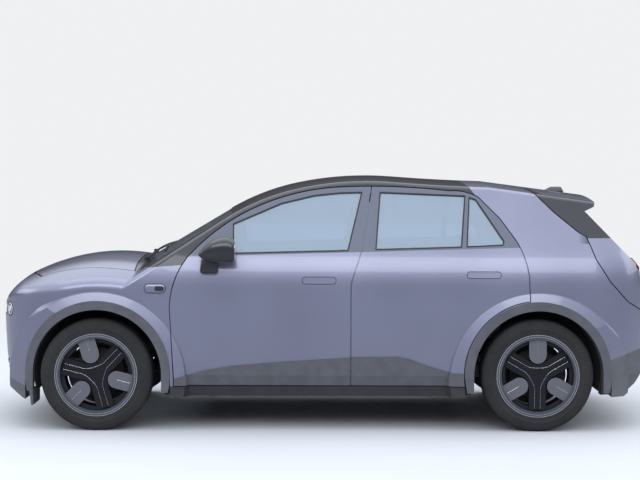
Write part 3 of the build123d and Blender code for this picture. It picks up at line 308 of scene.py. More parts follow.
def scuff_group():
    """Wear: fine scratches and lighter rubbed spots."""
    group, into, out = new_group(
        "scuffs",
        {"Colour": "Color", "Place": "Vector", "Amount": "Float"},
        {"Colour": "Color", "Rough": "Float"},
    )
    stretched = add(group, "Mapping", {"Vector": into["Place"], "Scale": (1.0, 1.0, 9.0)}).outputs[0]
    rubbed = ramp(group, noise(group, stretched, 60.0, 9.0, 0.75), 0.58, 0.72)
    share = sums(group, "MULTIPLY", rubbed, into["Amount"], clamp=True)
    group.links.new(mix_colour(group, share, into["Colour"], RUBBED_COLOUR), out["Colour"])
    group.links.new(sums(group, "MULTIPLY", share, 0.3), out["Rough"])
    return group


FOLD = side_place_group()
BEYOND = beyond_group()
DUST = dust_group()
FLAKE = flake_group()
GRAIN = grain_group()
SCUFF = scuff_group()


# Finishes

# Finish: colour, roughness, metallic, coat, grain height
FINISHES = {
    "paint": ((0.225, 0.230, 0.325), 0.30, 0.55, 1.0, 0.0),
    "gloss_dark": ((0.012, 0.0125, 0.017), 0.14, 0.0, 0.6, 0.0),
    "lamp_smoke": ((0.030, 0.031, 0.036), 0.08, 0.0, 1.0, 0.0),
    "window_frame": ((0.100, 0.112, 0.155), 0.16, 0.30, 1.0, 0.0),
    "cladding": ((0.088, 0.091, 0.106), 0.50, 0.0, 0.0, 0.00022),
    "sill_black": ((0.012, 0.0125, 0.015), 0.55, 0.0, 0.0, 0.00020),
    "seal_black": ((0.010, 0.010, 0.012), 0.62, 0.0, 0.0, 0.00005),
    "door_card": ((0.085, 0.085, 0.092), 0.72, 0.0, 0.0, 0.00020),
    "headliner": ((0.42, 0.42, 0.43), 0.92, 0.0, 0.0, 0.00010),
    "liner_felt": ((0.014, 0.014, 0.016), 0.92, 0.0, 0.0, 0.00060),
    "under_grey": ((0.050, 0.050, 0.053), 0.66, 0.0, 0.0, 0.00030),
    "cast_alloy": ((0.10, 0.10, 0.105), 0.62, 0.60, 0.0, 0.00012),
    "dark_iron": ((0.060, 0.058, 0.056), 0.60, 0.70, 0.0, 0.00020),
    "block_alloy": ((0.36, 0.36, 0.37), 0.42, 0.80, 0.0, 0.00010),
    "cabin_soft": ((0.055, 0.055, 0.062), 0.70, 0.0, 0.0, 0.00022),
    "spoke_black": ((0.006, 0.0065, 0.009), 0.36, 0.0, 0.10, 0.0),
    "spoke_grey": ((0.135, 0.138, 0.160), 0.42, 0.25, 0.2, 0.0),
    "rim_ring": ((0.080, 0.082, 0.096), 0.38, 0.35, 0.2, 0.0),
    "rim_inner": ((0.008, 0.0085, 0.010), 0.60, 0.10, 0.0, 0.0),
    "rim_band": ((0.018, 0.019, 0.024), 0.45, 0.20, 0.0, 0.0),
    # Painted highlight: thin bright lines that stand in for light caught along the wheel's edges; the valve
    # shares this finish
    "bright_line": ((0.62, 0.64, 0.68), 0.22, 0.90, 0.0, 0.0),
    "disc_steel": ((0.085, 0.085, 0.090), 0.60, 0.60, 0.0, 0.0),
    "mirror_face": ((0.80, 0.82, 0.84), 0.04, 1.0, 0.0, 0.0),
    "lamp_bright": ((0.85, 0.87, 0.90), 0.25, 0.4, 0.3, 0.0),
    "lamp_red": ((0.42, 0.015, 0.015), 0.20, 0.0, 0.8, 0.0),
}
WORN = ("cladding", "sill_black", "cast_alloy", "dark_iron", "spoke_grey", "rim_ring")
WEAR_ON_SMOOTH = 0.2
COAT_ROUGHNESS = 0.05
GRAIN_SCALE, GRAIN_TO_TONE = 620.0, 4000.0
PEEL_HEIGHT = 0.000004

# Planes that part one finish from the next: direction, distance, softness
ABOVE_BELT = ((-BELT_RISE, 0, 1), BELT_Z - BELT_RISE * BELT_X, 0.0015)
INSIDE = ((0, -1, 0), -0.775, 0.002)
INSIDE_LEANING = ((0, -1, -0.473), -1.302, 0.002)
BELOW_SILL = ((0, 0, -1), -0.267, 0.002)
LOW_NOSE = ((-0.31, 0, -1), 0.290, 0.002)
LOW_TAIL = ((0.25, 0, -1), 0.0, 0.002)
ROOF_REAR = ((0.80, 0, 0.60), 1.575, 0.002)
TAILGATE_TOP = ((0, 0, 1), 1.145, 0.002)
SPOILER_ENDS = ((0, 1, 0), 0.600, 0.002)
LAMP_OUTSIDE = ((0, 1, 0), 0.650, 0.002)

# Zones of a wheel: finish, radius from and to, distance from the car's middle from and to
WHEEL_ZONES = [
    ("disc_steel", 0.060, 0.152, 0.690, 0.7245),
    ("rim_band", 0.185, 0.2180, 0.800, 0.840),
    ("rim_ring", 0.2150, 0.260, 0.840, 0.900),
    ("spoke_black", 0.0, 0.2165, 0.8405, 0.852),
    ("spoke_grey", 0.060, 0.2165, 0.8520, 0.870),
    # Two thin painted highlight rings on the rim's outer ring
    ("bright_line", 0.2300, 0.2322, 0.865, 0.880),
    ("bright_line", 0.2418, 0.2455, 0.865, 0.880),
]
ZONE_EDGE = 0.0004


def new_material(name):
    """A material with only a Principled shader and its output."""
    material = bpy.data.materials.new(name)
    material.use_nodes = True
    tree = material.node_tree
    tree.nodes.clear()
    shader = tree.nodes.new("ShaderNodeBsdfPrincipled")
    output = tree.nodes.new("ShaderNodeOutputMaterial")
    tree.links.new(shader.outputs[0], output.inputs["Surface"])
    return material, tree, shader, output


def object_place(tree):
    """Place on the piece, which is its place in the car."""
    return add(tree, "TexCoord").outputs["Object"]


def add_bump(tree, shader, height, strength=1.0, distance=1.0):
    """Relief from a height."""
    bump = add(tree, "Bump", {"Strength": strength, "Distance": distance, "Height": height})
    tree.links.new(bump.outputs[0], shader.inputs["Normal"])


def beyond_planes(*planes):
    """Builds the mask of what lies beyond all these planes, on both sides of the car."""
    def build(tree, place, folded):
        masks = []
        for direction, distance, soft in planes:
            out = use_group(tree, BEYOND, Place=folded, Direction=direction, Distance=distance, Soft=soft)
            masks.append(out["Mask"])
        return sums(tree, "MULTIPLY", *masks)
    return build


def facing_down(tree, place, folded):
    """Mask of faces that look down, such as the inside of the roof."""
    upward = add(tree, "SeparateXYZ", {0: add(tree, "NewGeometry").outputs["Normal"]}).outputs["Z"]
    return ramp(tree, upward, -0.35, -0.15, 1.0, 0.0)


def wheel_ring(x, low_radius, high_radius, low_y, high_y):
    """Builds the mask of a ring of the wheel at x."""
    def build(tree, place, folded):
        centred = add(tree, "Mapping", {"Vector": place, "Location": (-x, 0, -WHEEL_Z)}).outputs[0]
        parts = add(tree, "SeparateXYZ", {0: centred}).outputs
        flat = add(tree, "CombineXYZ", {"X": parts["X"], "Z": parts["Z"]}).outputs[0]
        away = sums(tree, "ABSOLUTE", parts["Y"], 0.0)
        in_radius = within(tree, length(tree, flat), low_radius, high_radius, ZONE_EDGE)
        return sums(tree, "MULTIPLY", in_radius, within(tree, away, low_y, high_y, ZONE_EDGE))
    return build


def layered(name, base, zones=(), dust=0.25, dust_top=0.9, wear=0.15, gloss=0.5):
    """A material of one finish, with others where their masks are 1, and wear and dust over all of them."""
    material, tree, shader, _ = new_material(name)
    place = object_place(tree)
    folded = use_group(tree, FOLD, Place=place)["Folded"]
    colour, rough, metal, coat, grain = FINISHES[base]
    painted = 1.0 if base == "paint" else 0.0
    for finish, mask in zones:
        share = mask(tree, place, folded)
        new_colour, new_rough, new_metal, new_coat, new_grain = FINISHES[finish]
        colour = mix_colour(tree, share, colour, new_colour)
        rough = mix_value(tree, share, rough, new_rough)
        metal = mix_value(tree, share, metal, new_metal)
        coat = mix_value(tree, share, coat, new_coat)
        grain = mix_value(tree, share, grain, new_grain)
        painted = mix_value(tree, share, painted, 1.0 if finish == "paint" else 0.0)
    flaked = use_group(tree, FLAKE, Colour=colour, Place=place, Strength=painted)
    grained = use_group(tree, GRAIN, Colour=flaked["Colour"], Place=place, Scale=GRAIN_SCALE)
    moulded = sums(tree, "MULTIPLY", grain, GRAIN_TO_TONE, clamp=True)
    toned = mix_colour(tree, moulded, flaked["Colour"], grained["Colour"])
    amount = wear if base in WORN else wear * WEAR_ON_SMOOTH
    worn = use_group(tree, SCUFF, Colour=toned, Place=place, Amount=amount)
    rough = sums(tree, "ADD", rough, flaked["Roughness"], worn["Rough"])
    dusty = use_group(
        tree, DUST, Colour=worn["Colour"], Roughness=rough, Place=place, Amount=dust, Top=dust_top
    )
    tree.links.new(dusty["Colour"], shader.inputs["Base Color"])
    tree.links.new(dusty["Roughness"], shader.inputs["Roughness"])
    feed(tree, shader.inputs["Metallic"], metal)
    shader.inputs["Specular IOR Level"].default_value = gloss
    if zones or coat > 0:
        clean = sums(tree, "SUBTRACT", 1.0, dusty["Cover"])
        tree.links.new(sums(tree, "MULTIPLY", clean, coat), shader.inputs["Coat Weight"])
        shader.inputs["Coat Roughness"].default_value = COAT_ROUGHNESS
    relief = sums(tree, "MULTIPLY", grained["Height"], grain)
    peel = sums(tree, "MULTIPLY", flaked["Height"], PEEL_HEIGHT)
    add_bump(tree, shader, sums(tree, "ADD", relief, peel))
    return material


def floor_finish():
    """Pale floor that keeps the shadow, fades into the backdrop and is darker in reflections."""
    material, tree, shader, output = new_material("pale_floor")
    place = object_place(tree)
    tone = ramp(tree, noise(tree, place, 0.7, 6.0), 0.3, 0.7, 0.97, 1.0)
    rays = add(tree, "LightPath").outputs
    colour = mix_colour(tree, rays["Is Glossy Ray"], scaled(tree, FLOOR_COLOUR, tone), FLOOR_REFLECTED)
    tree.links.new(colour, shader.inputs["Base Color"])
    shader.inputs["Roughness"].default_value = 0.8
    seen = sums(tree, "ADD", rays["Is Camera Ray"], rays["Is Transmission Ray"], clamp=True)
    share = sums(tree, "MULTIPLY", ramp(tree, length(tree, place), *FLOOR_FADE), seen)
    glow = add(tree, "Emission", {"Color": BACKDROP})
    mixed = add(tree, "MixShader", {0: share, 1: shader.outputs[0], 2: glow.outputs[0]})
    tree.links.new(mixed.outputs[0], output.inputs["Surface"])
    return material


def glass_finish(name, tint, clear=0.75, through=1.0, index=1.75):
    """Tinted safety glass: reflects like glass and lets shadow rays through."""
    material, tree, shader, output = new_material(name)
    place = object_place(tree)
    dusty = use_group(tree, DUST, Colour=tint, Roughness=0.02, Place=place, Amount=0.10, Top=2.2)
    tree.links.new(dusty["Colour"], shader.inputs["Base Color"])
    haze = ramp(tree, noise(tree, place, 9.0, 7.0, 0.65), 0.45, 0.8, 0.0, 0.03)
    tree.links.new(haze, shader.inputs["Roughness"])
    shader.inputs["Transmission Weight"].default_value = through
    shader.inputs["IOR"].default_value = index
    light = add(tree, "BsdfTransparent", {"Color": [value * clear + 0.2 for value in tint]})
    ray = add(tree, "LightPath").outputs["Is Shadow Ray"]
    mixed = add(tree, "MixShader", {0: ray, 1: shader.outputs[0], 2: light.outputs[0]})
    tree.links.new(mixed.outputs[0], output.inputs["Surface"])
    return material


def rubber_finish(name, colour, rough):
    """Tyre rubber: matt, slightly rubbed and dusty."""
    material, tree, shader, _ = new_material(name)
    place = object_place(tree)
    worn = use_group(tree, SCUFF, Colour=colour, Place=place, Amount=0.03)
    grained = use_group(tree, GRAIN, Colour=worn["Colour"], Place=place, Scale=900.0)
    dusty = use_group(
        tree, DUST, Colour=grained["Colour"], Roughness=rough, Place=place, Amount=0.13, Top=1.6
    )
    tree.links.new(dusty["Colour"], shader.inputs["Base Color"])
    tree.links.new(dusty["Roughness"], shader.inputs["Roughness"])
    shader.inputs["Specular IOR Level"].default_value = 0.2
    add_bump(tree, shader, sums(tree, "MULTIPLY", grained["Height"], 0.00012))
    return material


def fabric_finish(name, colour, stitch=(0.30, 0.30, 0.31)):
    """Woven seat cloth: a fine basket weave with a soft sheen."""
    material, tree, shader, _ = new_material(name)
    place = object_place(tree)
    threads = {"Vector": place, "Scale": 95.0, "Distortion": 0.6}
    warp, weft = (add(tree, "TexWave", threads, bands_direction=way) for way in ("Y", "DIAGONAL"))
    weave = sums(tree, "MULTIPLY", warp.outputs["Fac"], weft.outputs["Fac"])
    grained = use_group(tree, GRAIN, Colour=colour, Place=place, Scale=480.0)
    tone = mix_colour(tree, sums(tree, "MULTIPLY", weave, 0.45), grained["Colour"], stitch)
    tree.links.new(tone, shader.inputs["Base Color"])
    tree.links.new(ramp(tree, weave, 0.0, 1.0, 0.95, 0.80), shader.inputs["Roughness"])
    shader.inputs["Sheen Weight"].default_value = 0.35
    add_bump(tree, shader, weave, 0.6, 0.0006)
    return material


def rim_finish(place_name, x):
    """Wheel: dark barrel, black star, grey paddles, ring with two painted highlight lines and a steel brake
    disc.
    """
    zones = [(finish, wheel_ring(x, *sizes)) for finish, *sizes in WHEEL_ZONES]
    return layered(f"wheel_{place_name}", "rim_inner", zones, dust=0.06, dust_top=0.7, wear=0.08, gloss=0.22)


def dress_nodes():
    """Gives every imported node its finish."""
    inner_card = ("door_card", beyond_planes(INSIDE, INSIDE_LEANING))
    paint = layered("body_paint", "paint")
    doors = layered("door_paint", "paint", [("window_frame", beyond_planes(ABOVE_BELT)), inner_card])
    frames = layered("frame_paint", "paint", [inner_card, ("sill_black", beyond_planes(BELOW_SILL))])
    nose = layered("nose_paint", "paint", [("cladding", beyond_planes(LOW_NOSE))], dust=0.35)
    tail = layered("tail_paint", "paint", [("cladding", beyond_planes(LOW_TAIL))], dust=0.35)
    roof_zones = [("paint", beyond_planes(ROOF_REAR)), ("headliner", facing_down)]
    roof = layered("roof_finish", "gloss_dark", roof_zones, dust_top=3.0, dust=0.08)
    hatch = layered("hatch_paint", "paint", [("gloss_dark", beyond_planes(TAILGATE_TOP))])
    fin_zones = [("gloss_dark", beyond_planes(SPOILER_ENDS)), ("gloss_dark", facing_down)]
    fin = layered("spoiler_finish", "paint", fin_zones)
    gloss = layered("gloss_trim", "gloss_dark", dust=0.10, dust_top=2.5)
    cladding = layered("grained_cladding", "cladding", dust=0.16, dust_top=0.9, wear=0.08, gloss=0.35)
    liner = layered("arch_liner", "liner_felt", dust=0.4)
    under = layered("underbody_grey", "under_grey", dust=0.5)
    alloy = layered("suspension_alloy", "cast_alloy", dust=0.4, wear=0.4)
    iron = layered("axle_iron", "dark_iron", dust=0.5, wear=0.4)
    housing = layered("housing_block", "block_alloy", dust=0.3)
    cabin = layered("cabin_moulding", "cabin_soft", dust=0.05)
    glass = glass_finish("tinted_glass", (0.36, 0.51, 0.65), 0.75, 0.72, 2.4)
    screen = glass_finish("screen_glass", (0.50, 0.56, 0.60), 0.80, 0.88, 1.8)
    lamp = layered("lamp_face", "lamp_smoke", [("paint", beyond_planes(LAMP_OUTSIDE))], dust=0.05)
    red = glass_finish("red_lens", (0.55, 0.03, 0.03))
    finishes = {
        "bonnet": paint, "front_wings": paint, "front_bumper": nose, "rear_bumper": tail, "tailgate": hatch,
        "spoiler": fin, "roof": roof, "cowl": gloss, "windscreen": screen, "tailgate_glass": glass,
        "floor_pan": under, "wheel_liners": liner, "arch_trims": cladding, "front_subframe": iron,
        "rear_axle": iron, "battery_pack": housing, "drive_motor": housing, "front_seats": cabin,
        "rear_bench": cabin, "dashboard": cabin, "steering_wheel": cabin, "headlamps": lamp,
        "tail_lamps": red,
    }
    for side in SIDES:
        finishes[f"side_frame_{side}"] = frames
        finishes[f"mirror_{side}"] = gloss
        finishes[f"knuckle_{side}"] = alloy
        for place in AXLES:
            finishes[f"{place}_door_{side}"] = doors
            finishes[f"{place}_door_glass_{side}"] = glass
            finishes[f"{place}_door_trim_{side}"] = cladding
            finishes[f"tyre_{place}_{side}"] = liner
    for place, x in AXLES.items():
        material = rim_finish(place, x)
        for side in SIDES:
            finishes[f"rim_{place}_{side}"] = material
    for name, node in NODES.items():
        node.data.materials.clear()
        node.data.materials.append(finishes[name])


# Modelling helpers

def alone(piece=None):
    """Leaves edit mode and selects only that piece, or nothing."""
    if bpy.context.object and bpy.context.object.mode != "OBJECT":
        bpy.ops.object.mode_set(mode="OBJECT")
    bpy.ops.object.select_all(action="DESELECT")
    if piece is not None:
        bpy.context.view_layer.objects.active = piece
        piece.select_set(True)


def start(kind, name, **settings):
    """A primitive at its size and place, with its transforms applied."""
    alone()
    getattr(bpy.ops.mesh, f"primitive_{kind}_add")(**settings)
    piece = bpy.context.object
    piece.name = name
    bpy.ops.object.transform_apply(location=True, rotation=True, scale=True)
    return piece


def pick(piece, kind, test=lambda *found: True):
    """Opens the piece for editing, with only what passes the test selected.

    The test gets the middle and normal of a face, both ends of an edge, or the place and normal of a corner.
    """
    alone(piece)
    bpy.ops.object.mode_set(mode="EDIT")
    bpy.ops.mesh.select_mode(type=kind)
    bpy.ops.mesh.select_all(action="DESELECT")
    mesh = bmesh.from_edit_mesh(piece.data)
    if kind == "FACE":
        for face in mesh.faces:
            if test(face.calc_center_median(), face.normal):
                face.select_set(True)
    elif kind == "EDGE":
        for edge in mesh.edges:
            if test(edge.verts[0].co, edge.verts[1].co):
                edge.select_set(True)
    else:
        for corner in mesh.verts:
            if test(corner.co, corner.normal):
                corner.select_set(True)
    mesh.select_flush_mode()
    bmesh.update_edit_mesh(piece.data)


def round_edges(piece, offset, test=lambda *ends: True):
    """Bevels the edges that pass the test."""
    pick(piece, "EDGE", test)
    bpy.ops.mesh.bevel(offset=offset, segments=4, affect="EDGES")
    alone(piece)


def raise_cap(piece, border, height, test):
    """Insets the faces that pass the test and moves them out along a vector."""
    pick(piece, "FACE", test)
    bpy.ops.mesh.inset(thickness=border)
    bpy.ops.mesh.extrude_region_move(TRANSFORM_OT_translate={"value": height})
    alone(piece)


def modify(piece, kind, **settings):
    """A modifier with its settings, applied at once."""
    alone(piece)
    modifier = piece.modifiers.new(kind.lower(), kind)
    for key, value in settings.items():
        setattr(modifier, key, value)
    bpy.ops.object.modifier_apply(modifier=modifier.name)


def outward(piece):
    """Merges doubles and turns all faces outwards."""
    pick(piece, "VERT")
    bpy.ops.mesh.remove_doubles(threshold=0.00002)
    bpy.ops.mesh.normals_make_consistent(inside=False)
    alone(piece)


def join(name, pieces):
    """Several meshes as one piece."""
    alone(pieces[0])
    for piece in pieces:
        piece.select_set(True)
    bpy.ops.object.join()
    pieces[0].name = name
    return pieces[0]


def copied(piece, name, turn=Matrix.Identity(4), move=(0, 0, 0), flip=False):
    """A copy with its own mesh, turned, moved or mirrored to the other side of the car."""
    twin = piece.copy()
    twin.data = piece.data.copy()
    twin.name = name
    bpy.context.scene.collection.objects.link(twin)
    twin.data.transform(Matrix.Translation(move) @ turn)
    if flip:
        twin.data.transform(Matrix.Scale(-1, 4, (0, 1, 0)))
        twin.data.flip_normals()
    return twin


def place_piece(piece, body, slot, material, angle=35, stands_for=()):
    """Smooths and dresses a finished piece, attaches it to its body and hides the nodes it stands for."""
    alone(piece)
    bpy.ops.object.shade_smooth_by_angle(angle=radians(angle))
    piece.data.materials.clear()
    piece.data.materials.append(material)
    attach(piece, body)
    if stands_for:
        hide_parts(*stands_for)


def place_pair(piece, body, slot, material, angle=35, stands_for=()):
    """Places a left piece and its mirror image. Body and replaced nodes may hold {side}."""
    right = copied(piece, piece.name.replace("_left", "_right"), flip=True)
    for twin, side in ((piece, "left"), (right, "right")):
        nodes = [name.format(side=side) for name in stands_for]
        place_piece(twin, body.format(side=side), slot, material, angle, nodes)
    return piece, right


def tube(name, points, radius, sides=3, cyclic=False, bend=False):
    """A round bar along the points."""
    data = bpy.data.curves.new(name, "CURVE")
    data.dimensions = "3D"
    data.bevel_depth = radius
    data.bevel_resolution = sides
    data.use_fill_caps = not cyclic
    line = data.splines.new("NURBS" if bend else "POLY")
    line.points.add(len(points) - 1)
    for spot, place in zip(line.points, points):
        spot.co = (*place, 1)
    line.use_cyclic_u = cyclic
    if bend:
        line.order_u = 3
        line.use_endpoint_u = not cyclic
        data.resolution_u = 6
    bar = bpy.data.objects.new(name, data)
    bpy.context.scene.collection.objects.link(bar)
    alone(bar)
    bpy.ops.object.convert(target="MESH")
    outward(bpy.context.object)
    return bpy.context.object


def box(name, low, high):
    """A box between two corners, still with sharp edges."""
    middle = [(a + b) / 2 for a, b in zip(low, high)]
    return start("cube", name, size=1, location=middle, scale=[b - a for a, b in zip(low, high)])


def block(name, low, high, round_off=0.004, segments=3):
    """A box between two corners with its edges rounded."""
    piece = box(name, low, high)
    pick(piece, "EDGE")
    bpy.ops.mesh.bevel(offset=round_off, segments=segments, affect="EDGES", profile=0.6)
    alone(piece)
    return piece


def turned_about(place, angle, axis="Y"):
    """Matrix of a turn about an axis through a place."""
    place = Vector(place)
    return Matrix.Translation(place) @ Matrix.Rotation(radians(angle), 4, axis) @ Matrix.Translation(-place)


def outline_face(name, corners, rounding):
    """A flat face in side view through the corners, with rounded corners."""
    piece = start("circle", name, vertices=len(corners), fill_type="NGON", rotation=(pi / 2, 0, 0))
    for spot, (x, z) in zip(piece.data.vertices, corners):
        spot.co = (x, OUTLINE_Y, z)
    pick(piece, "VERT")
    bpy.ops.mesh.bevel(offset=rounding, segments=4, affect="VERTICES")
    alone(piece)
    return piece


def cut_up(piece, step):
    """Bisects a flat side-view mesh along x and z, so that it can follow a curved panel."""
    places = [corner.co for corner in piece.data.vertices]
    spans = [(axis, min(co[axis] for co in places), max(co[axis] for co in places)) for axis in (0, 2)]
    for axis, low, high in spans:
        normal = Vector((0, 0, 0))
        normal[axis] = 1
        count = int((high - low) / step)
        for index in range(1, count + 1):
            at = low + (high - low) * index / (count + 1)
            pick(piece, "FACE")
            bpy.ops.mesh.bisect(plane_co=normal * at, plane_no=normal)
    alone(piece)


def side_reach(x, z):
    """Distance of the body side from the car's middle: bowed in plan, round below the belt, leaning above."""
    bow = x * x / (2 * SIDE_BOW)
    if z >= SIDE_BELT_Z:
        return SIDE_HALF - bow - SIDE_INSET - (z - SIDE_BELT_Z) * tan(SIDE_LEAN)
    return SIDE_HALF - bow - SIDE_SHOULDER + sqrt(SIDE_SHOULDER**2 - max(z - SIDE_WIDEST_Z, 0) ** 2)


def lay_on(piece, step, lift, thickness):
    """Lays a flat left-side mesh on the body side and gives it thickness."""
    cut_up(piece, step)
    for corner in piece.data.vertices:
        corner.co.y = -side_reach(corner.co.x, corner.co.z) - lift
    modify(piece, "SOLIDIFY", thickness=thickness, offset=0.0)
    outward(piece)
    return piece


def panel_plate(name, corners, rounding, lift, thickness, step=0.04):
    """A thin plate on a panel of the left side."""
    return lay_on(outline_face(name, corners, rounding), step, lift, thickness)


def panel_ring(name, corners, rounding, width, lift, thickness, step=0.04):
    """A thin frame on a panel of the left side, from its outer outline inwards by the width."""
    piece = outline_face(name, corners, rounding)
    pick(piece, "FACE")
    bpy.ops.mesh.inset(thickness=width, depth=0)
    bpy.ops.mesh.delete(type="FACE")
    alone(piece)
    return lay_on(piece, step, lift, thickness)


def grown(corners, amount):
    """A convex outline moved outwards by the amount."""
    middle_x = sum(x for x, z in corners) / len(corners)
    middle_z = sum(z for x, z in corners) / len(corners)
    lines = []
    for (ax, az), (bx, bz) in zip(corners, corners[1:] + corners[:1]):
        run = hypot(bx - ax, bz - az)
        nx, nz = (bz - az) / run, (ax - bx) / run
        if nx * (middle_x - ax) + nz * (middle_z - az) > 0:
            nx, nz = -nx, -nz
        lines.append((nx, nz, nx * ax + nz * az + amount))
    result = []
    for (a, b, c), (d, e, f) in zip(lines[-1:] + lines[:-1], lines):
        det = a * e - b * d
        result.append(((c * e - b * f) / det, (a * f - c * d) / det))
    return result


def rectangle(low_x, high_x, low_z, high_z, shrink=0.0):
    """Four corners of a rectangle in side view, drawn in all round by shrink."""
    low_x, high_x, low_z, high_z = low_x + shrink, high_x - shrink, low_z + shrink, high_z - shrink
    return [(low_x, low_z), (high_x, low_z), (high_x, high_z), (low_x, high_z)]


def between(at, steps, values):
    """Value at a place between steps, in straight runs."""
    for low, high, first, last in zip(steps, steps[1:], values, values[1:]):
        if at <= high:
            return first + (last - first) * max(at - low, 0) / (high - low)
    return values[-1]


def fit_between(piece, low, high):
    """Stretches a mesh so that it fills the box between two corners."""
    corners = [corner.co.copy() for corner in piece.data.vertices]
    for axis in range(3):
        first = min(place[axis] for place in corners)
        last = max(place[axis] for place in corners)
        for corner, place in zip(piece.data.vertices, corners):
            share = (place[axis] - first) / (last - first)
            corner.co[axis] = low[axis] + (high[axis] - low[axis]) * share


# Tyres and wheels

# Sidewall from the tread's edge to the bead: radius and distance from the wheel's middle
SIDEWALL = [
    (0.3305, 0.0805), (0.3265, 0.0875), (0.3205, 0.0935), (0.3120, 0.0985), (0.3000, 0.1035), (0.2890, 0.1068),
    (0.2800, 0.1074), (0.2785, 0.1084), (0.2765, 0.1084), (0.2750, 0.1073), (0.2650, 0.1064), (0.2560, 0.1052),
    (0.2545, 0.1060), (0.2500, 0.1056), (0.2470, 0.1046), (0.2457, 0.1030), (0.2300, 0.1003), (0.2268, 0.0996),
]
TYRE_RADIUS, TREAD_HALF = 0.3319, 0.074
# Grooves round the tyre, from and to; a block's corners as shares of its pitch, with its cross groove last
GROOVES, GROOVE_DEPTH = [(0.0095, 0.0180), (0.0375, 0.0470)], 0.0068
TREAD_BLOCKS, BLOCK_STEPS = 56, (0.0, 0.31, 0.62, 0.90)
TREAD_LEAST_RADIUS, SHOULDER_Y = 0.3290, 0.079
TYRE_OFFSET = 7

# Painted highlight strips: places of the paddles and the star's arms round the wheel, their faces, and radii
# along them
PADDLES, ARM_ANGLE = (90, 210, 330), 60
PADDLE_FACE_Y, STAR_FACE_Y = 0.8562 - WHEEL_Y, 0.8482 - WHEEL_Y
SLOT_HIGHLIGHT_RADII, SLOT_HIGHLIGHT_THICK = (0.128, 0.150, 0.180, 0.207), 0.0011
FOLD_HIGHLIGHT_RADII, FOLD_HIGHLIGHT_AWAY, FOLD_HIGHLIGHT_THICK = (0.196, 0.150, 0.100, 0.062), 0.017, 0.0008

# Brake splash shields: distance from the car's middle, radius, then flange, rim and dish widths and two steps
SHIELD_Y, SHIELD_RADIUS, SHIELD_THICK = 0.684, 0.188, 0.0014
SHIELD_WIDTHS, SHIELD_STEPS = (0.008, 0.036, 0.078), (0.005, -0.003)


def turn_share(place):
    """How far round the wheel a place is, counted in tread blocks."""
    return (atan2(place.z, place.x) % (2 * pi)) / (2 * pi) * TREAD_BLOCKS


def in_groove(middle, normal):
    """Whether a face of the tread lies in a groove."""
    away = abs(middle.y)
    if hypot(middle.x, middle.z) < TREAD_LEAST_RADIUS or away > SHOULDER_Y:
        return False
    if any(low < away < high for low, high in GROOVES):
        return True
    return away > GROOVES[0][1] and turn_share(middle) % 1 > BLOCK_STEPS[3]


def tyre_mesh():
    """One tyre about the origin: a cylinder with its ends drawn in to the bead and grooves in its tread."""
    steps = len(BLOCK_STEPS)
    count = TREAD_BLOCKS * steps
    piece = start(
        "cylinder", "tyre", vertices=count, radius=TYRE_RADIUS, depth=2 * TREAD_HALF, end_fill_type="NGON",
        rotation=(pi / 2, 0, 0),
    )
    for corner in piece.data.vertices:
        index = int(round(turn_share(corner.co) * steps)) % count
        angle = (index // steps + BLOCK_STEPS[index % steps]) / TREAD_BLOCKS * 2 * pi
        corner.co.x, corner.co.z = TYRE_RADIUS * cos(angle), TYRE_RADIUS * sin(angle)
    for edge_y in [y for pair in GROOVES for y in pair]:
        for sign in (-1, 1):
            pick(piece, "FACE", lambda middle, normal: abs(normal.y) < 0.5)
            bpy.ops.mesh.bisect(plane_co=(0, sign * edge_y, 0), plane_no=(0, 1, 0))
    for sign in (-1, 1):
        radius, reach = TYRE_RADIUS, TREAD_HALF
        pick(piece, "FACE", lambda middle, normal: normal.y * sign > 0.9)
        for next_radius, next_reach in SIDEWALL:
            shift = (0, sign * (next_reach - reach), 0)
            bpy.ops.mesh.extrude_region_move(TRANSFORM_OT_translate={"value": shift})
            share = next_radius / radius
            bpy.ops.transform.resize(value=(share, 1, share), center_override=(0, sign * next_reach, 0))
            radius, reach = next_radius, next_reach
        bpy.ops.mesh.delete(type="FACE")
    bead = SIDEWALL[-1][0]

    def on_bead(a, b):
        return abs(a.y - b.y) < 0.0001 and all(abs(hypot(end.x, end.z) - bead) < 0.0004 for end in (a, b))

    pick(piece, "EDGE", on_bead)
    bpy.ops.mesh.bridge_edge_loops()
    pick(piece, "FACE", in_groove)
    bpy.ops.mesh.extrude_region_shrink_fatten(TRANSFORM_OT_shrink_fatten={"value": -GROOVE_DEPTH})
    outward(piece)
    return piece


def wheel_lines():
    """Painted highlight strips of one wheel about the origin, facing -Y: along the slots in the paddles and the
    folds on the arms; and the valve.
    """
    parts = []
    for paddle in PADDLES:
        c, s = cos(radians(paddle)), sin(radians(paddle))
        # Painted highlight: a bright bar along the paddle's slot, for the light on its lower lip
        slot = [(r * c, -PADDLE_FACE_Y, r * s) for r in SLOT_HIGHLIGHT_RADII]
        parts.append(tube("slot", slot, SLOT_HIGHLIGHT_THICK, 2))
        # Painted highlight: a bright bar along the folds of the arms on both sides of the paddle
        fold_highlight = []
        for arm, side, radii in ((-ARM_ANGLE, 1, FOLD_HIGHLIGHT_RADII), (ARM_ANGLE, -1, FOLD_HIGHLIGHT_RADII[::-1])):
            c, s = cos(radians(paddle + arm)), sin(radians(paddle + arm))
            away = side * FOLD_HIGHLIGHT_AWAY
            fold_highlight += [(r * c - away * s, -STAR_FACE_Y, r * s + away * c) for r in radii]
        parts.append(tube("fold_highlight", fold_highlight, FOLD_HIGHLIGHT_THICK, 2, bend=True))
    valve = start(
        "cylinder", "valve", vertices=16, radius=0.0045, depth=0.026, location=(0.176, -0.075, -0.085),
        rotation=(radians(70), 0, radians(25)),
    )
    raise_cap(valve, 0.0012, (0, -0.003, 0), lambda middle, normal: normal.y < -0.7)
    outward(valve)
    return join("wheel_lines", [*parts, valve])


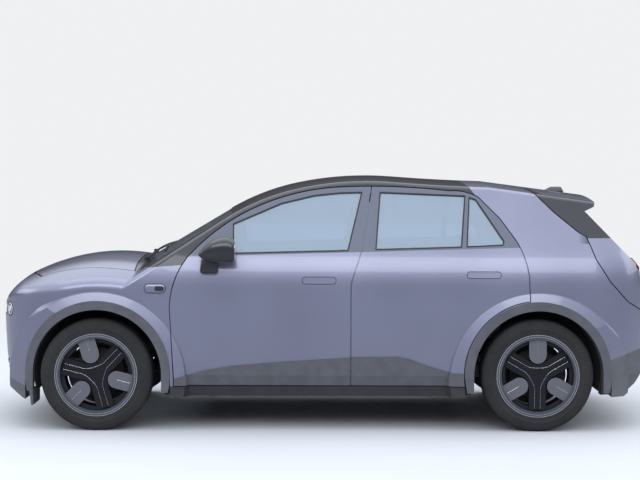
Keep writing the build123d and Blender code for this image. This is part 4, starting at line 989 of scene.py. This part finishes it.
def make_wheels():
    """Tyres, painted highlight strips and valves for all four wheels. The front wheels have rolled on a little,
    as in the photograph.
    """
    rubber = rubber_finish("tyre_rubber", (0.017, 0.017, 0.019), 0.76)
    # Bright finish of the painted highlight strips, which the real valve shares
    bright = layered("painted_highlight_and_valve_metal", "bright_line", dust=0.1)
    tyre, lines = tyre_mesh(), wheel_lines()
    for place, x in AXLES.items():
        roll = FRONT_ROLL if place == "front" else 0
        for side, sign in SIDES.items():
            body = f"wheel_{place}_{side}"
            turn = Matrix.Rotation(radians(TYRE_OFFSET * sign + roll), 4, "Y")
            one = copied(tyre, f"tread_tyre_{place}_{side}", turn, (x, sign * WHEEL_Y, WHEEL_Z))
            place_piece(one, body, "tyre", rubber, 32, [f"tyre_{place}_{side}"])
            turn = Matrix.Rotation(radians(-roll), 4, "Y")
            hub = (x, -WHEEL_Y, WHEEL_Z)
            highlight_strips = copied(lines, f"wheel_lines_{place}_{side}", turn, hub, flip=side == "right")
            place_piece(highlight_strips, body, "rim", bright, 40)
    for spare in (tyre, lines):
        bpy.data.objects.remove(spare)


def make_brake_shields():
    """A pressed splash shield behind each brake disc, which closes the view through the wheel."""
    iron = bpy.data.materials["axle_iron"]
    shield = start(
        "circle", "brake_shield", vertices=72, radius=SHIELD_RADIUS, fill_type="NGON", rotation=(pi / 2, 0, 0)
    )
    pick(shield, "FACE")
    for width, step in zip(SHIELD_WIDTHS, SHIELD_STEPS):
        bpy.ops.mesh.inset(thickness=width)
        bpy.ops.transform.translate(value=(0, step, 0))
    bpy.ops.mesh.inset(thickness=SHIELD_WIDTHS[-1])
    bpy.ops.mesh.delete(type="FACE")
    modify(shield, "SOLIDIFY", thickness=SHIELD_THICK, offset=0.0)
    outward(shield)
    for place, x in AXLES.items():
        for side in SIDES:
            hub = (x, -SHIELD_Y, WHEEL_Z)
            one = copied(shield, f"brake_shield_{place}_{side}", move=hub, flip=side == "right")
            body = f"knuckle_{side}" if place == "front" else "body"
            place_piece(one, body, "cast_metal", iron, 40)
    bpy.data.objects.remove(shield)


# Outside trim

# Window openings in side view: x, z
WINDOWS = {
    "front_door": [
        [
            (-0.525, 1.055), (-0.529, 1.223), (-0.244, 1.345), (-0.049, 1.392), (0.106, 1.408), (0.234, 1.412),
            (0.150, 1.073),
        ],
    ],
    "rear_door": [
        [(0.349, 1.412), (0.855, 1.392), (0.824, 1.094), (0.320, 1.079)],
        [(0.884, 1.382), (0.920, 1.370), (1.078, 1.126), (1.072, 1.106), (0.862, 1.096)],
    ],
}
SEAL_OVERLAP, SEAL_WIDTH = 0.006, 0.0075

# Handles, camera capsules and camera lenses: x from and to, z from and to
HANDLES = {"front_door": (-0.121, 0.083, 0.872, 0.917), "rear_door": (0.854, 1.060, 0.907, 0.950)}
CAPSULE = (-1.054, -0.924, 0.816, 0.873)
LENS = (CAPSULE[1] - 0.066, CAPSULE[1] - 0.012, CAPSULE[2] + 0.014, CAPSULE[3] - 0.014)

# Mirror shell: how square its section is, its box, and along it from front to back its top, bottom and width
MIRROR_SQUARE = 3.0
MIRROR_BOX = ((-0.7245, -0.996, 0.998), (-0.5115, -0.843, 1.153))
MIRROR_STEPS = (0.0, 0.15, 0.35, 0.60, 0.85, 1.0)
MIRROR_PROFILE = (
    (0.40, 0.64, 0.87, 0.99, 1.0, 0.86),
    (0.26, 0.12, 0.04, 0.0, 0.0, 0.03),
    (0.45, 0.72, 0.90, 1.0, 1.0, 0.94),
)
MIRROR_FOOT, MIRROR_FOOT_SIZE, MIRROR_FOOT_TOP = (-0.669, -0.846, 0.990), (0.112, 0.110, 0.110), 1.045
MIRROR_PANE, MIRROR_PANE_SIZE = (-0.5125, -0.920, 1.070), (0.004, 0.104, 0.078)

POD_X, POD_SIZE = 1.480, (0.150, 0.056, 0.036)
DEFLECTOR_LOW, DEFLECTOR_HIGH = (-1.734, -0.860, 0.149), (-1.713, -0.610, 0.240)
INTAKE_HALF, INTAKE_HEIGHT, INTAKE_Z = 0.500, 0.090, 0.355
INTAKE_MESH_X, INTAKE_BOW, INTAKE_WIRE = -1.915, 0.10, 0.0035

# Wipers: pivot, and the two ends of the blade: x, y
WIPERS = [
    ((-1.075, -0.500), (-0.955, -0.560), (-0.990, 0.060)),
    ((-1.085, 0.140), (-0.985, 0.080), (-0.950, 0.640)),
]
BLADE_LIFT, PIVOT_LIFT, ARM_LIFT = 0.008, 0.014, 0.012

# Lamps that show: places, and ring by ring its radius and thickness
HEADLAMPS = [(0.480, 0.702), (0.590, 0.702)]
TAIL_LAMPS = [(0.620, 0.985), (0.620, 0.880), (0.620, 0.775)]
HEADLAMP_RINGS, HEADLAMP_BEZEL = ((0.034, 0.0022), (0.013, 0.0040)), (0.0445, 0.0014)
TAIL_LAMP_RINGS, TAIL_LAMP_BEZEL = ((0.038, 0.0026), (0.018, 0.0034)), (0.0485, 0.0014)
RING_POINTS = 40


def make_side_trim():
    """Window seals, flush handles and the camera capsules, with painted shade rings round the handles and
    capsules.
    """
    rubber = layered("seal_rubber", "seal_black", dust=0.1, dust_top=2.0)
    # Black for the painted shade rings in the gaps round handles and capsules; wipers and lamp bezels use it as
    # their own black
    gap = layered("gap_black", "seal_black", dust=0.05)
    paint = bpy.data.materials["body_paint"]
    gloss = bpy.data.materials["gloss_trim"]
    for door, windows in WINDOWS.items():
        body = door + "_{side}"
        for index, window in enumerate(windows):
            outline = grown(window, SEAL_OVERLAP)
            seal = panel_ring(
                f"window_seal_{door}_{index}_left", outline, 0.006, SEAL_WIDTH, lift=0.0006, thickness=0.0016,
                step=0.05,
            )
            place_pair(seal, body, "gloss_black", rubber, 40)
        # Painted shade: a thin black ring laid on the door stands in for the shaded gap round the handle
        ring = panel_ring(f"handle_gap_{door}_left", rectangle(*HANDLES[door]), 0.020, 0.0032, 0.0003, 0.0010)
        place_pair(ring, body, "gloss_black", gap, 40)
        outline = rectangle(*HANDLES[door], shrink=0.0035)
        handle = panel_plate(f"door_handle_{door}_left", outline, 0.0175, 0.0008, 0.0020)
        place_pair(handle, body, "paint", paint, 40)
    # Painted shade: a thin black ring stands in for the shaded gap round the camera capsule
    ring = panel_ring("capsule_gap_left", rectangle(*CAPSULE), 0.0275, 0.004, 0.0004, 0.0012, 0.02)
    place_pair(ring, "body", "gloss_black", gap, 40)
    capsule = panel_plate("side_camera_left", rectangle(*CAPSULE, shrink=0.004), 0.0235, 0.0030, 0.0070, 0.02)
    pick(capsule, "FACE", lambda middle, normal: normal.y < -0.7)
    bpy.ops.mesh.inset(thickness=0.006, depth=0.003)
    place_pair(capsule, "body", "paint", paint, 50)
    lens = panel_plate("camera_lens_left", rectangle(*LENS), 0.012, 0.0098, 0.0020, 0.01)
    place_pair(lens, "body", "gloss_black", gloss, 50)


def mirror_shell():
    """A mirror's shell: a cut-up cube with a rounded section, drawn out along its profile."""
    shell = start("cube", "mirror_shell_left", size=2)
    pick(shell, "FACE")
    bpy.ops.mesh.subdivide(number_cuts=5)
    alone(shell)
    for corner in shell.data.vertices:
        along, across, up = (corner.co.x + 1) / 2, corner.co.y, corner.co.z
        reach = max(abs(across), abs(up))
        if reach > 0:
            rounded = reach / (abs(across) ** MIRROR_SQUARE + abs(up) ** MIRROR_SQUARE) ** (1 / MIRROR_SQUARE)
            across, up = across * rounded, up * rounded
        top, bottom, width = (between(along, MIRROR_STEPS, values) for values in MIRROR_PROFILE)
        corner.co = (along, across * width, bottom + (top - bottom) * (up + 1) / 2)
    modify(shell, "SUBSURF", levels=2, render_levels=2)
    fit_between(shell, *MIRROR_BOX)
    return shell


def make_mirrors():
    """Door mirrors: a smooth shell on a foot, with its glass facing back."""
    shell = mirror_shell()
    foot = start("cube", "mirror_foot", size=1, location=MIRROR_FOOT, scale=MIRROR_FOOT_SIZE)
    pick(foot, "FACE", lambda middle, normal: normal.z > 0.9)
    bpy.ops.transform.resize(value=(0.84, 0.7, 1), center_override=(-0.635, -0.880, MIRROR_FOOT_TOP))
    round_edges(foot, 0.022)
    shell = join("mirror_shell_left", [shell, foot])
    gloss = bpy.data.materials["gloss_trim"]
    place_pair(shell, "front_door_{side}", "gloss_black", gloss, 50, ["mirror_{side}"])
    pane = start("cube", "mirror_glass_left", size=1, location=MIRROR_PANE, scale=MIRROR_PANE_SIZE)
    round_edges(pane, 0.018, test=lambda a, b: abs(a.x - b.x) > 0.001)
    silver = layered("mirror_silver", "mirror_face", dust=0.02)
    place_pair(pane, "front_door_{side}", "gloss_black", silver, 40)


def first_hit(node, origin, direction):
    """Where a straight line first meets a packed panel, or None."""
    found, place, _, _ = NODES[node].ray_cast(Vector(origin), Vector(direction))
    return place if found else None


def make_body_trim():
    """Antenna pod, air deflectors and intake mesh."""
    cladding = bpy.data.materials["grained_cladding"]
    foot = first_hit("spoiler", (POD_X, 0, 2), (0, 0, -1))
    pod = start("cube", "antenna_pod", size=1, location=(POD_X, 0, foot.z + 0.010), scale=POD_SIZE)
    pick(pod, "FACE", lambda middle, normal: normal.z > 0.9)
    bpy.ops.transform.resize(value=(0.45, 0.35, 1), center_override=(POD_X + 0.045, 0, foot.z + 0.028))
    round_edges(pod, 0.009)
    place_piece(pod, "tailgate", "gloss_black", bpy.data.materials["gloss_trim"], 50)

    deflector = block("air_deflector_left", DEFLECTOR_LOW, DEFLECTOR_HIGH, 0.003, 2)
    pick(deflector, "VERT", lambda place, normal: place.z < 0.20)
    bpy.ops.transform.resize(value=(0.6, 0.92, 1), center_override=(DEFLECTOR_HIGH[0], -0.735, 0.150))
    alone(deflector)
    place_pair(deflector, "body", "cladding", cladding)

    mesh = start("grid", "intake_mesh", x_subdivisions=76, y_subdivisions=9, size=1)
    for corner in mesh.data.vertices:
        across, up = corner.co.x * 2 * INTAKE_HALF, corner.co.y * INTAKE_HEIGHT
        corner.co = (INTAKE_MESH_X + INTAKE_BOW * across**2, across, INTAKE_Z + up)
    modify(mesh, "WIREFRAME", thickness=INTAKE_WIRE, use_replace=True)
    outward(mesh)
    place_piece(mesh, "body", "cladding", cladding)


def screen_point(x, y, lift):
    """A point on the windscreen or the scuttle under it, seen from above, lifted by so much."""
    found = first_hit("windscreen", (x, y, 2), (0, 0, -1)) or first_hit("cowl", (x, y, 2), (0, 0, -1))
    return found + Vector((0, 0, lift))


def make_wipers():
    """Two wipers parked along the foot of the windscreen: an arm, its pivot cap and a rubber blade each."""
    lift = Vector((0, 0, ARM_LIFT))
    for index, (pivot, near, far) in enumerate(WIPERS):
        blade = []
        for step in range(9):
            x, y = (first + (last - first) * (step / 8) for first, last in zip(near, far))
            blade.append(screen_point(x, y, BLADE_LIFT))
        middle = blade[4]
        root = screen_point(*pivot, PIVOT_LIFT)
        arm = [root, root * 0.7 + middle * 0.3 + lift, root * 0.3 + middle * 0.7 + lift, middle + lift * 0.5]
        parts = [tube("blade", blade, 0.0055, 3), tube("arm", arm, 0.0065, 3, bend=True)]
        cap = start("cylinder", "cap", vertices=24, radius=0.016, depth=0.020, location=root)
        raise_cap(cap, 0.004, (0, 0, 0.003), lambda place, normal: normal.z > 0.9)
        wiper = join(f"wiper_{index}", [*parts, cap])
        place_piece(wiper, "body", "gloss_black", bpy.data.materials["gap_black"], 45)


def lamp_ring(node, y, z, radius, thickness):
    """A ring that lies on the face of a left lamp, found by looking at it along x."""
    direction = 1 if node == "headlamps" else -1
    points = []
    for index in range(RING_POINTS):
        turn = 2 * pi * index / RING_POINTS
        origin = (-3 * direction, -y + radius * cos(turn), z + radius * sin(turn))
        place = first_hit(node, origin, (direction, 0, 0))
        if place is not None:
            points.append(place - Vector((direction * 0.0005, 0, 0)))
    return tube("ring", points, thickness, 2, cyclic=True)


def make_lamps():
    """Light rings and bezels on the faces of the head and tail lamps."""
    bright = layered("lamp_bright", "lamp_bright", dust=0.03)
    red = layered("lamp_red", "lamp_red", dust=0.03)
    dark = bpy.data.materials["gap_black"]
    # name, node, places, rings, bezel, body, slot, material of the rings
    kinds = [
        ("headlamp", "headlamps", HEADLAMPS, HEADLAMP_RINGS, HEADLAMP_BEZEL, "body", "lamp", bright),
        ("tail_lamp", "tail_lamps", TAIL_LAMPS, TAIL_LAMP_RINGS, TAIL_LAMP_BEZEL, "tailgate", "tail_lamp", red),
    ]
    modelled = []
    for name, node, places, sizes, bezel, body, slot, material in kinds:
        rings = [lamp_ring(node, *place, *size) for place in places for size in sizes]
        bezels = [lamp_ring(node, *place, *bezel) for place in places]
        modelled.append((f"{name}_rings_left", rings, body, slot, material))
        modelled.append((f"{name}_bezels_left", bezels, body, "gloss_black", dark))
    for name, rings, body, slot, material in modelled:
        place_pair(join(name, rings), body, slot, material, 60)


# Cabin

# A pad: x from and to, half width, z from and to, lean, x and z it leans about, edge radius, voxel size, most
# swell, distance of its long seams from its middle, and axis and place of its cross seam
Pad = namedtuple("Pad", "name x half_width z lean about edge voxel swell seam cross")
FRONT_PADS = [
    Pad(
        "front_seat_cushion_left", (-0.405, 0.125), 0.235, (0.375, 0.490), 4, (-0.14, 0.43), 0.045, 0.0085,
        0.014, 0.145, (0, -0.10),
    ),
    Pad(
        "front_seat_back_left", (0.075, 0.185), 0.225, (0.500, 1.040), 14, (0.10, 0.50), 0.045, 0.0085,
        0.014, 0.140, (2, 0.83),
    ),
    Pad(
        "front_headrest_left", (0.225, 0.305), 0.125, (1.075, 1.205), 12, (0.265, 1.14), 0.03, 0.007,
        0.008, None, None,
    ),
]
BENCH_PADS = [
    Pad(
        "bench_cushion", (0.505, 0.960), 0.600, (0.350, 0.500), 3, (0.73, 0.42), 0.045, 0.011,
        0.014, 0.20, (0, 0.70),
    ),
    Pad(
        "bench_back", (0.975, 1.060), 0.590, (0.520, 1.000), 12, (0.99, 0.52), 0.045, 0.011,
        0.010, 0.20, (2, 0.78),
    ),
]
# How far a pad's top is crowned and sunk between its sides, and the share by which its sides are drawn in
PAD_CROWN, PAD_DIP, PAD_PINCH = 0.010, 0.0072, 0.03
STUFFING_PRESSURE, STUFFING_FRAMES = 4.0, 14
# A seam's depth and width, and how fast it fades beside its line
SEAM_DEPTH, SEAM_WIDTH, SEAM_FADE = 0.007, 0.010, 2.718

STEERING_PLACE, STEERING_TILT = (-0.455, -SEAT_Y, 0.930), 26
STEERING_RADIUS, STEERING_THICK = 0.171, 0.0145
CENTRE_SCREEN_TILT = -8


def cushion(pad, y):
    """A pad's starting form about y: a box with broad round edges and a crowned top, leaned back."""
    low, high = (pad.x[0], y - pad.half_width, pad.z[0]), (pad.x[1], y + pad.half_width, pad.z[1])
    piece = box(pad.name, low, high)
    pick(piece, "FACE")
    bpy.ops.mesh.subdivide(number_cuts=5)
    alone(piece)
    middle = [(a + b) / 2 for a, b in zip(low, high)]
    half = [(b - a) / 2 for a, b in zip(low, high)]
    for corner in piece.data.vertices:
        u, v = (corner.co.x - middle[0]) / half[0], (corner.co.y - middle[1]) / half[1]
        if corner.co.z > middle[2]:
            corner.co.z += PAD_CROWN * (1 - u * u) * (1 - v * v) - (PAD_DIP if abs(v) < 0.7 else 0)
        corner.co.y = middle[1] + (corner.co.y - middle[1]) * (1 - PAD_PINCH * (1 - u * u))

    def on_box_edge(a, b):
        return sum(abs(abs((p + q) / 2 - m) - h) < 0.02 for p, q, m, h in zip(a, b, middle, half)) >= 2

    pick(piece, "EDGE", on_box_edge)
    bpy.ops.mesh.bevel(offset=pad.edge, segments=4, affect="EDGES", clamp_overlap=True)
    alone(piece)
    piece.data.transform(turned_about((pad.about[0], y, pad.about[1]), pad.lean))
    return piece


def swell(piece, voxel, most):
    """Turns a closed form into a stuffed pad: remeshed, blown up as cloth by no more than most, smoothed."""
    alone(piece)
    piece.data.remesh_voxel_size = voxel
    bpy.ops.object.voxel_remesh()
    before = [corner.co.copy() for corner in piece.data.vertices]
    cloth = piece.modifiers.new("stuffing", "CLOTH")
    cloth.settings.use_pressure = True
    cloth.settings.uniform_pressure_force = STUFFING_PRESSURE
    cloth.settings.effector_weights.gravity = 0.0
    cloth.settings.quality = 4
    for step in range(1, STUFFING_FRAMES + 1):
        bpy.context.scene.frame_set(step)
    alone(piece)
    bpy.ops.object.modifier_apply(modifier=cloth.name)
    bpy.context.scene.frame_set(1)
    for corner, old in zip(piece.data.vertices, before):
        shift = corner.co - old
        if shift.length > most:
            corner.co = old + shift * (most / shift.length)
    modify(piece, "SMOOTH", factor=0.5, iterations=6)


def press_seams(piece, seams):
    """Sewn channels: presses the surface in along planes, each given by an axis and a place."""
    normals = [corner.normal.copy() for corner in piece.data.vertices]
    for corner, normal in zip(piece.data.vertices, normals):
        for axis, at in seams:
            off = abs(corner.co[axis] - at)
            if off < 3 * SEAM_WIDTH and abs(normal[axis]) < 0.6:
                corner.co -= normal * SEAM_DEPTH * SEAM_FADE ** -((off / SEAM_WIDTH) ** 2)


def stuffed(pad, y):
    """A finished pad about y."""
    piece = cushion(pad, y)
    swell(piece, pad.voxel, pad.swell)
    if pad.seam:
        press_seams(piece, [(1, y - pad.seam), (1, y + pad.seam), pad.cross])
    return piece


def make_seats():
    """Front seats and rear bench, as stuffed pads; the front ones on moulded bases."""
    cloth = fabric_finish("seat_cloth", (0.17, 0.17, 0.185))
    front = [stuffed(pad, -SEAT_Y) for pad in FRONT_PADS]
    for index, pad in enumerate(front):
        for twin in place_pair(pad, "body", "seat", cloth, 80, [] if index else ["front_seats"]):
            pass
    bench = [stuffed(pad, 0) for pad in BENCH_PADS]
    for index, pad in enumerate(bench):
        place_piece(pad, "body", "seat", cloth, 80, [] if index else ["rear_bench"])
    plinth = block("plinth", (-0.350, -SEAT_Y - 0.200, 0.2935), (0.090, -SEAT_Y + 0.200, 0.365), 0.012)
    recliner = block("recliner", (0.060, -SEAT_Y - 0.235, 0.380), (0.150, -SEAT_Y + 0.235, 0.520), 0.015)
    posts = []
    for y in (-SEAT_Y - 0.05, -SEAT_Y + 0.05):
        posts.append(tube("post", [(0.235, y, 1.00), (0.262, y, 1.10)], 0.006))
    base = join("seat_base_left", [plinth, recliner, *posts])
    place_pair(base, "body", "cabin_plastic", bpy.data.materials["cabin_moulding"])


def make_steering_wheel():
    """Steering wheel: rim, hub, three spokes and the column's end, modelled flat and then tilted."""
    rim = start(
        "torus", "steering_rim", major_radius=STEERING_RADIUS, minor_radius=STEERING_THICK, major_segments=96,
        minor_segments=16,
    )
    hub = start("cylinder", "steering_hub", vertices=48, radius=0.056, depth=0.050, location=(0, 0, -0.010))
    raise_cap(hub, 0.010, (0, 0, 0.006), lambda middle, normal: normal.z > 0.9)
    spokes = []
    for angle in (-90, 0, 90):
        spoke = block("spoke", (0.045, -0.017, -0.008), (0.168, 0.017, 0.006))
        spoke.data.transform(Matrix.Rotation(radians(angle), 4, "Z"))
        spokes.append(spoke)
    column = start("cylinder", "column", vertices=32, radius=0.029, depth=0.058, location=(0, 0, -0.0595))
    pick(column, "FACE", lambda middle, normal: normal.z < -0.9)
    bpy.ops.mesh.inset(thickness=0.004)
    wheel = join("steering_wheel_rim", [rim, hub, *spokes, column])
    tilt = Matrix.Rotation(radians(90 - STEERING_TILT), 4, "Y")
    wheel.data.transform(Matrix.Translation(STEERING_PLACE) @ tilt)
    cabin = bpy.data.materials["cabin_moulding"]
    place_piece(wheel, "steering_wheel", "cabin_plastic", cabin, 40, ["steering_wheel"])


def make_screens():
    """Centre screen and dial screen."""
    centre = block("centre_screen", (-0.605, -0.165, 0.880), (-0.590, 0.165, 1.075), 0.006)
    centre.data.transform(turned_about((-0.6, 0, 0.97), CENTRE_SCREEN_TILT))
    dials = block("dial_screen", (-0.640, -SEAT_Y - 0.130, 0.992), (-0.628, -SEAT_Y + 0.130, 1.065), 0.005)
    screens = join("cabin_screens", [centre, dials])
    place_piece(screens, "body", "gloss_black", bpy.data.materials["gloss_trim"], 40)


studio()
dress_nodes()
make_wheels()
make_brake_shields()
make_side_trim()
make_mirrors()
make_body_trim()
make_wipers()
make_lamps()
make_seats()
make_steering_wheel()
make_screens()
